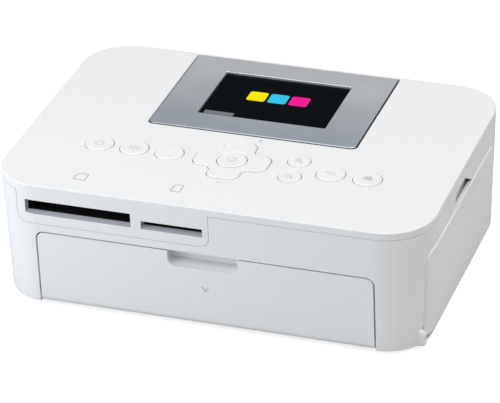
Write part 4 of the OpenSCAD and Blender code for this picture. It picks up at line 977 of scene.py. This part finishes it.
def build_lower_shell():
    shell = lower_form("lower_shell_skin")
    cut(shell, housing("inner", WALL, FLOOR_TOP, BODY_H))
    room = [prism("apron", apron_outline(SEAM_GAP), "y", -BODY_D, SLOT_BACK + 1.6),
            block("tub", (-TUB_HALF - SEAM_GAP, BODY_D / 2 - 8, TUB_Z - TUB_FLOOR - SEAM_GAP),
                  (TUB_HALF + SEAM_GAP, BODY_D, BODY_H))]
    cut(shell, *cover_openings(), *room, *rear_openings())
    parts = []
    for s in (-1, 1):
        x = s * (COVER_HALF + COVER_GAP + COVER_LUG_T / 2)
        parts.append(block("lug", (x - COVER_LUG_T / 2, COVER_AXIS[0] - 3.5, COVER_AXIS[1] - 3.5),
                           (x + COVER_LUG_T / 2, COVER_AXIS[0] + 5.5, COVER_AXIS[1] + 5.5)))
        parts += [bar("boss", "z", FLOOR_TOP - 0.1, FLOOR_TOP + FLANGE_BOSS_H, (s * FLANGE_X, y),
                      FLANGE_BOSS_R, 24) for y in FLANGE_Y]
    parts += [bar("boss", "z", LOWER_BOSS_Z, SHELL_BOSS_Z, p, LOWER_BOSS_R, 24) for p in SHELL_BOSSES]
    parts.append(notch_walls())
    inner = parts[0]
    join(inner, *parts[1:])
    keep(inner, lower_form("limit"))
    join(shell, inner, side_lug(SIDE_FRONT - SIDE_PLAY - LUG_T), side_lug(SIDE_REAR + SIDE_PLAY))
    cut(shell, *lower_holes())
    # Post on which the eject lever turns
    low, high = node_box("eject_lever")
    seat = low.z - 0.1
    join(shell, lathe("post", [(LEVER_POST_R, FLOOR_TOP - 0.1), (LEVER_POST_R, seat),
                               (LEVER_STUD_R, seat), (LEVER_STUD_R, high.z + 1)], LEVER_AT))
    round_edges(shell, LOWER_EDGE_R, lambda p: p.z > FLOOR_Z + 3 and on_outside(p))
    smooth(shell)
    finish_piece(shell, WHITE, "printer", "white_shell", "lower_shell")


# ---------------- covers


def on_chevron(point):
    """True on the floor and the walls of the chevron in the front cover."""
    face_y = -half_d(point.z)
    return (abs(point.x - CHEVRON_X) < 2 and CHEVRON_Z - 0.2 < point.z < CHEVRON_Z + CHEVRON_H + 0.2
            and face_y + 0.2 < point.y < face_y + 2 * CHEVRON_DEPTH)


def build_front_cover():
    cover = housing("front_cover_skin", 0, FLOOR_Z, COVER_TOP + OVER, bottom_r=COVER_FOOT_R)
    cut(cover, housing("inner", WALL, FLOOR_Z - OVER, COVER_TOP + 2 * OVER))
    # A hair narrower than the straight part of the front, so that no two edges coincide
    half = COVER_HALF - 0.01
    keep(cover, prism("outline", round_rect(-half, -6, half, COVER_TOP, COVER_R), "y", -BODY_D, 0))
    pocket_half = SCOOP_W / 2 + SCOOP_WALL
    pocket = prism("pocket", round_rect(-pocket_half, COVER_TOP - SCOOP_H - SCOOP_WALL,
                                        pocket_half, COVER_TOP, 1.2),
                   "y", SCOOP_FACE + 0.6, SCOOP_FACE + SCOOP_DEPTH + SCOOP_WALL)
    pin_end = COVER_HALF + COVER_PIN_REACH
    join(cover, bar("knuckle", "x", -COVER_HALF, COVER_HALF, COVER_AXIS, COVER_KNUCKLE_R),
         bar("pin", "x", -pin_end, pin_end, COVER_AXIS, HINGE_PIN_R), pocket)
    scoop = prism("scoop", [(-BODY_D, COVER_TOP - 2 * SCOOP_H)] + SCOOP_FLOOR + [(-BODY_D, COVER_TOP + 5)],
                  "x", -SCOOP_W, SCOOP_W)
    keep(scoop, prism("sides", round_rect(-SCOOP_W / 2, COVER_TOP - SCOOP_H, SCOOP_W / 2,
                                          COVER_TOP + 2 * SCOOP_H, SCOOP_R), "y", -BODY_D, 0))
    tip_half = CHEVRON_HALF / 2
    chevron = [(-CHEVRON_HALF, CHEVRON_H), (0, 0), (CHEVRON_HALF, CHEVRON_H), (tip_half, CHEVRON_H),
               (0, CHEVRON_H / 2), (-tip_half, CHEVRON_H)]
    mark = prism("mark", moved(chevron, CHEVRON_X, CHEVRON_Z), "y", -BODY_D,
                 -half_d(CHEVRON_Z + 0.8) + CHEVRON_DEPTH)
    cut(cover, scoop, mark)
    round_edges(cover, COVER_EDGE_R, lambda p: p.z > 8 and on_outside(p) and abs(p.x) > 2.6)
    smooth(cover)
    # Painted shade: the chevron's floor and walls are painted grey
    paint(cover, WHITE, CHEVRON_PAINTED_SHADE)
    for face in cover.data.polygons:
        if on_chevron(face.center):
            face.material_index = 1
    finish_piece(cover, None, "front_cover", "white_shell", "front_cover")


def build_side_cover():
    cover = housing("side_cover_skin", -SIDE_PROUD, SIDE_BOTTOM - OVER, SIDE_TOP + OVER)
    cut(cover, housing("inner", SIDE_T, SIDE_BOTTOM - 2 * OVER, SIDE_TOP + 2 * OVER))
    keep(cover, prism("outline", side_outline(0), "x", CORNER_X, BODY_W))
    round_edges(cover, SIDE_EDGE_R, lambda p: p.z > SIDE_BOTTOM + 1, segments=3)
    mark = prism("mark", circle(*SIDE_MARK, SIDE_MARK_OUTER), "x",
                 half_w(SIDE_MARK[1]) + SIDE_PROUD - SIDE_MARK_DEPTH, BODY_W)
    cut(mark, bar("island", "x", CORNER_X, BODY_W + OVER, SIDE_MARK, SIDE_MARK_INNER))
    cut(cover, mark)
    join(cover, bar("knuckle", "y", SIDE_FRONT + 0.01, SIDE_REAR - 0.01, SIDE_AXIS, SIDE_KNUCKLE_R),
         bar("pin", "y", SIDE_FRONT - SIDE_PIN_REACH, SIDE_REAR + SIDE_PIN_REACH, SIDE_AXIS, HINGE_PIN_R))
    smooth(cover)
    finish_piece(cover, WHITE, "side_cover", "white_shell", "side_cover")


# ---------------- display and keys


def frame_outline(inset):
    half = PANEL_W / 2 - inset
    return round_rect(-half, PANEL_FRONT + inset, half, PANEL_FRONT + PANEL_D - inset,
                      PANEL_R - inset, r_top=PANEL_REAR_R - inset)


def screen_outline(grow, r):
    half_x, half_y = SCREEN_W / 2 + grow, SCREEN_D / 2 + grow
    return round_rect(-half_x, SCREEN_Y - half_y, half_x, SCREEN_Y + half_y, r)


def build_lcd_frame():
    rings = [(0, PANEL_TOP - FRAME_T), (0, PANEL_TOP - FRAME_RIM)]
    rings += [(inset, PANEL_TOP - down) for inset, down in quarter_round(FRAME_RIM, (22, 45, 68, 90))]
    frame_piece = stack("lcd_frame_skin", frame_outline, rings)
    # A larger rounding along the front edge
    edge_y, edge_z = PANEL_FRONT + FRAME_FRONT_R, PANEL_TOP - FRAME_FRONT_R
    strip = block("strip", (-PANEL_W, PANEL_FRONT - OVER, edge_z), (PANEL_W, edge_y, PANEL_TOP + OVER))
    cut(strip, bar("round", "x", -PANEL_W - OVER, PANEL_W + OVER, (edge_y, edge_z), FRAME_FRONT_R, 64))
    levels = ((0, PANEL_TOP - 5), (0, PANEL_TOP - 0.15), (0.35, PANEL_TOP + 0.2))
    opening = stack("opening", lambda grow: screen_outline(grow, SCREEN_R + grow), levels)
    back = PANEL_TOP - FRAME_T
    lap = prism("lap", screen_outline(WINDOW_LAP, 1), "z", back - OVER, back + 0.7)
    cut(frame_piece, strip, opening, lap)
    smooth(frame_piece)
    # The outer sides are painted dark below the top edge: painted shadow of the gap around the frame
    paint(frame_piece, SILVER, FRAME_SIDE_PAINTED_SHADOW)
    for face in frame_piece.data.polygons:
        outside = abs(face.center.x) > PANEL_W / 2 - 1 or face.center.y < PANEL_FRONT + 1
        if outside and face.normal.z < 0.5:
            face.material_index = 1
    finish_piece(frame_piece, None, "display", "silver_frame", "lcd_frame")


def key_profile(r, top, flange):
    """Radius and height of a key from its underside to the middle of its dished cap."""
    wide = r + KEY_SWELL
    if flange:
        profile = [(0.001, FLANGE_Z), (r + flange, FLANGE_Z), (r + flange, FLANGE_Z + FLANGE_T),
                   (wide, FLANGE_Z + FLANGE_T)]
    else:
        profile = [(0.001, FLANGE_Z), (wide, FLANGE_Z)]
    profile += [(wide - inset, top - down) for inset, down in quarter_round(KEY_RIM, (0, *RIM_ANGLES))]
    profile += [(r * k, top - CAP_DISH * (1 - (k / DISH_R) ** 2)) for k in DISH_STEPS]
    return profile


def build_key(name, body, node, at, r, top, flange):
    cap = lathe(name, key_profile(r, top, flange), at)
    join(cap, bar("stem", "z", FLANGE_Z - 0.35, FLANGE_Z + 0.3, at, STEM_R, 24))
    smooth(cap, 40)
    finish_piece(cap, KEY_WHITE, body, "white_key", node)


def build_keys():
    for name, (x, y, r) in BUTTONS.items():
        build_key(name + "_cap", name + "_key", name + "_button", (x, y), r, KEY_TOP, FLANGE_OUT)
    build_key("ok_cap", "ok_key", "ok_button", PAD_AT, OK_R, KEY_TOP + OK_PROUD, 0)


def build_pad():
    rings = [(PAD_SWELL, FLANGE_Z), (PAD_SWELL, KEY_TOP - KEY_RIM)]
    rings += [(PAD_SWELL - inset, KEY_TOP - down) for inset, down in quarter_round(KEY_RIM, RIM_ANGLES)]
    pad = stack("pad_skin", pad_outline, rings)
    join(pad, prism("flange", pad_outline(PAD_FLANGE_OUT), "z", FLANGE_Z, FLANGE_Z + FLANGE_T))
    bore = OK_R + OK_GAP
    cut(pad, lathe("bore", [(bore, 0), (bore, KEY_TOP - 0.35), (OK_R + 1.3, KEY_TOP - 0.12),
                            (OK_R + 1.5, KEY_TOP + 0.3)], PAD_AT))
    # Ribs on which the pad rocks
    for s in (-1, 1):
        x, y = PAD_AT[0], PAD_AT[1] + s * RIB_Y
        join(pad, block("rib", (x - 0.6, y - 0.9, FLANGE_Z - 0.42), (x + 0.6, y + 0.9, FLANGE_Z + 0.08)))
    smooth(pad, 40)
    finish_piece(pad, KEY_WHITE, "pad", "white_key", "direction_pad")


# ---------------- signs on the keys and the top

LINE_W = 0.36
CARD_LINE_W = 0.55
CARD_CORNER = 1.2


def stroke(x0, y0, x1, y1, width=LINE_W):
    """Straight line of a sign, as a thin rectangle."""
    length = math.hypot(x1 - x0, y1 - y0)
    across = (-(y1 - y0) / length * width / 2, (x1 - x0) / length * width / 2)
    return [(x0 + across[0], y0 + across[1]), (x0 - across[0], y0 - across[1]),
            (x1 - across[0], y1 - across[1]), (x1 + across[0], y1 + across[1])]


def band(x, y, r, start=0.0, end=359.5, width=LINE_W):
    """Round line of a sign: an arc about a point, or nearly a full ring."""
    return arc(x, y, r + width / 2, start, end, 32) + arc(x, y, r - width / 2, end, start, 32)


def box_line(x0, y0, x1, y1):
    return [stroke(x0, y0, x1, y0), stroke(x1, y0, x1, y1), stroke(x1, y1, x0, y1), stroke(x0, y1, x0, y0)]


# Signs of the keys, about the middle of each
LENS = [band(-0.3, 0.3, 1.15), stroke(0.55, -0.55, 1.55, -1.55, 0.5)]
KEY_SIGNS = {
    "power": [band(0, 0, 1.7, -240, 60), stroke(0, 0.5, 0, 2.3)],
    "menu": [stroke(x - 0.45, y, x + 0.45, y, 0.9) for x in (-1.5, 0, 1.5) for y in (-0.75, 0.75)],
    "zoom_in": LENS + [stroke(-0.9, 0.3, 0.3, 0.3, 0.25), stroke(-0.3, -0.3, -0.3, 0.9, 0.25)],
    "zoom_out": LENS + [stroke(-0.9, 0.3, 0.3, 0.3, 0.25)],
    "back": [band(0.9, 0, 0.8, -90, 90), stroke(-1.4, 0.8, 0.9, 0.8), stroke(-0.7, -0.8, 0.9, -0.8),
             [(-2.3, 0.8), (-1.3, 0.1), (-1.3, 1.5)]],
    "print": (box_line(-1.9, -1.0, 1.9, 0.4) + box_line(-1.1, 0.4, 1.1, 1.6)
              + [stroke(-1.1, -0.4, 1.1, -0.4)]),
    "ok": [band(0, 0, 1.5, width=0.4)],
}


def card_icon(half_x, half_y):
    """Outline of a memory card with one cut corner."""
    points = [(-half_x, -half_y), (half_x, -half_y), (half_x, half_y), (CARD_CORNER - half_x, half_y),
              (-half_x, half_y - CARD_CORNER)]
    return [stroke(*a, *b, CARD_LINE_W) for a, b in zip(points, points[1:] + points[:1])]


# Signs printed on the top surface: place and shapes
TOP_SIGNS = (
    (5.5, -4.7, [stroke(-1.2, 0, 1.2, 0), stroke(0, -1.2, 0, 1.2)]),
    (0, -41.4, [stroke(-1.2, 0, 1.2, 0)]),
    (-53.2, -51.7, card_icon(2.3, 2.5)),
    (-13.7, -50.4, card_icon(1.8, 2.8)),
)


def sign(name, shapes, at, top, material, body):
    """Print of flat strokes that stand a hair above the surface."""
    parts = [prism("stroke", moved(shape, *at), "z", top - 0.25, top + 0.03) for shape in shapes]
    finish_piece(merge(name, parts), material, body, "grey_plastic")


def build_signs():
    for key, shapes in KEY_SIGNS.items():
        at = PAD_AT if key == "ok" else BUTTONS[key][:2]
        top = KEY_TOP + (OK_PROUD if key == "ok" else 0) - CAP_DISH
        sign(key + "_sign", shapes, at, top, KEY_LEGEND, key + "_key")
    for i, (x, y, shapes) in enumerate(TOP_SIGNS):
        sign("top_sign_%d" % i, shapes, (x, y), BODY_H, LEGEND, "printer")


build_upper_shell()
build_lower_shell()
build_front_cover()
build_side_cover()
build_lcd_frame()
build_keys()
build_pad()
build_signs()

# ---------------- CAD nodes that are shown

for subpart in frame["record"]["subparts"]:
    node = frame["nodes"].get(subpart["node"])
    if node is not None:
        paint(node, NODE_LOOKS[subpart["material_slot"]])

# ---------------- floor, light and camera

# The floor is a plain pale grey, and glows for the camera alone until the background is white
FLOOR_HALF = 4
FLOOR_DARK = (0.62, 0.62, 0.62, 1)
FLOOR_PALE = (0.66, 0.66, 0.66, 1)
FLOOR_SPECKLE = 300
FLOOR_GLOW = 0.75
WORLD_TINT = (0.91, 0.955, 1.0, 1)
WORLD_LIGHT = 0.22
LAMP_AIM = (0, 0, 0.03)
# The camera solved from the housing's edges: its place, its axes and its lens
CAMERA_AT = (0.377419, -1.081188, 0.662964)
CAMERA_RIGHT = Vector((0.94841351, 0.31577707, -0.02822512))
CAMERA_DOWN = Vector((0.1304906, -0.46994996, -0.87299441))
CAMERA_AHEAD = Vector((-0.28893601, 0.82427658, -0.48691283))
SENSOR_MM = 36
LENS_MM = 233.29


def floor_material():
    material = bpy.data.materials.new("white_table")
    material.use_nodes = True
    tree = material.node_tree
    tree.nodes.clear()
    add = tree.nodes.new
    output = add("ShaderNodeOutputMaterial")
    diffuse = add("ShaderNodeBsdfDiffuse")
    glow = add("ShaderNodeEmission")
    total = add("ShaderNodeAddShader")
    path = add("ShaderNodeLightPath")
    seen = add("ShaderNodeMath")
    seen.operation = "MAXIMUM"
    speckle = add("ShaderNodeTexNoise")
    speckle.inputs["Scale"].default_value = FLOOR_SPECKLE
    shade = add("ShaderNodeMix")
    shade.data_type = "RGBA"
    shade.inputs[6].default_value = FLOOR_DARK
    shade.inputs[7].default_value = FLOOR_PALE
    level = add("ShaderNodeMath")
    level.operation = "MULTIPLY"
    level.inputs[1].default_value = FLOOR_GLOW
    for source, socket in (
            (speckle.outputs["Fac"], shade.inputs["Factor"]),
            (shade.outputs[2], diffuse.inputs["Color"]),
            (path.outputs["Is Camera Ray"], seen.inputs[0]),
            (path.outputs["Is Transmission Ray"], seen.inputs[1]),
            (seen.outputs["Value"], level.inputs[0]),
            (level.outputs["Value"], glow.inputs["Strength"]),
            (diffuse.outputs["BSDF"], total.inputs[0]),
            (glow.outputs["Emission"], total.inputs[1]),
            (total.outputs["Shader"], output.inputs["Surface"])):
        tree.links.new(source, socket)
    return material


def build_floor():
    corners = [(sx * FLOOR_HALF, sy * FLOOR_HALF, 0) for sx, sy in ((-1, -1), (1, -1), (1, 1), (-1, 1))]
    mesh = bpy.data.meshes.new("table")
    mesh.from_pydata(corners, [], [(0, 1, 2, 3)])
    mesh.materials.append(floor_material())
    new_object("table", mesh)


def lamp(name, at, width, height, power, tint):
    data = bpy.data.lights.new(name, "AREA")
    data.shape = "RECTANGLE"
    data.size = width
    data.size_y = height
    data.energy = power
    data.color = tint
    obj = new_object(name, data)
    obj.location = at
    obj.rotation_euler = (Vector(LAMP_AIM) - Vector(at)).to_track_quat("-Z", "Y").to_euler()


def build_light():
    world = bpy.data.worlds.new("studio")
    bpy.context.scene.world = world
    world.use_nodes = True
    background = world.node_tree.nodes["Background"]
    background.inputs["Color"].default_value = WORLD_TINT
    background.inputs["Strength"].default_value = WORLD_LIGHT
    lamp("overhead", (0.32, -0.1, 1.45), 2.4, 1.4, 27.5, (1, 0.99, 0.97))
    lamp("left", (-0.4, -0.27, 0.14), 0.35, 0.22, 1.1, (0.88, 0.94, 1.0))


def build_camera():
    data = bpy.data.cameras.new("camera")
    data.sensor_width = SENSOR_MM
    data.lens = LENS_MM
    data.clip_start = 0.05
    camera = new_object("camera", data)
    turn = Matrix((CAMERA_RIGHT, -CAMERA_DOWN, -CAMERA_AHEAD)).transposed()
    camera.matrix_world = Matrix.Translation(Vector(CAMERA_AT)) @ turn.to_4x4()
    bpy.context.scene.camera = camera
    bpy.context.scene.view_settings.view_transform = "Standard"


build_floor()
build_light()
build_camera()
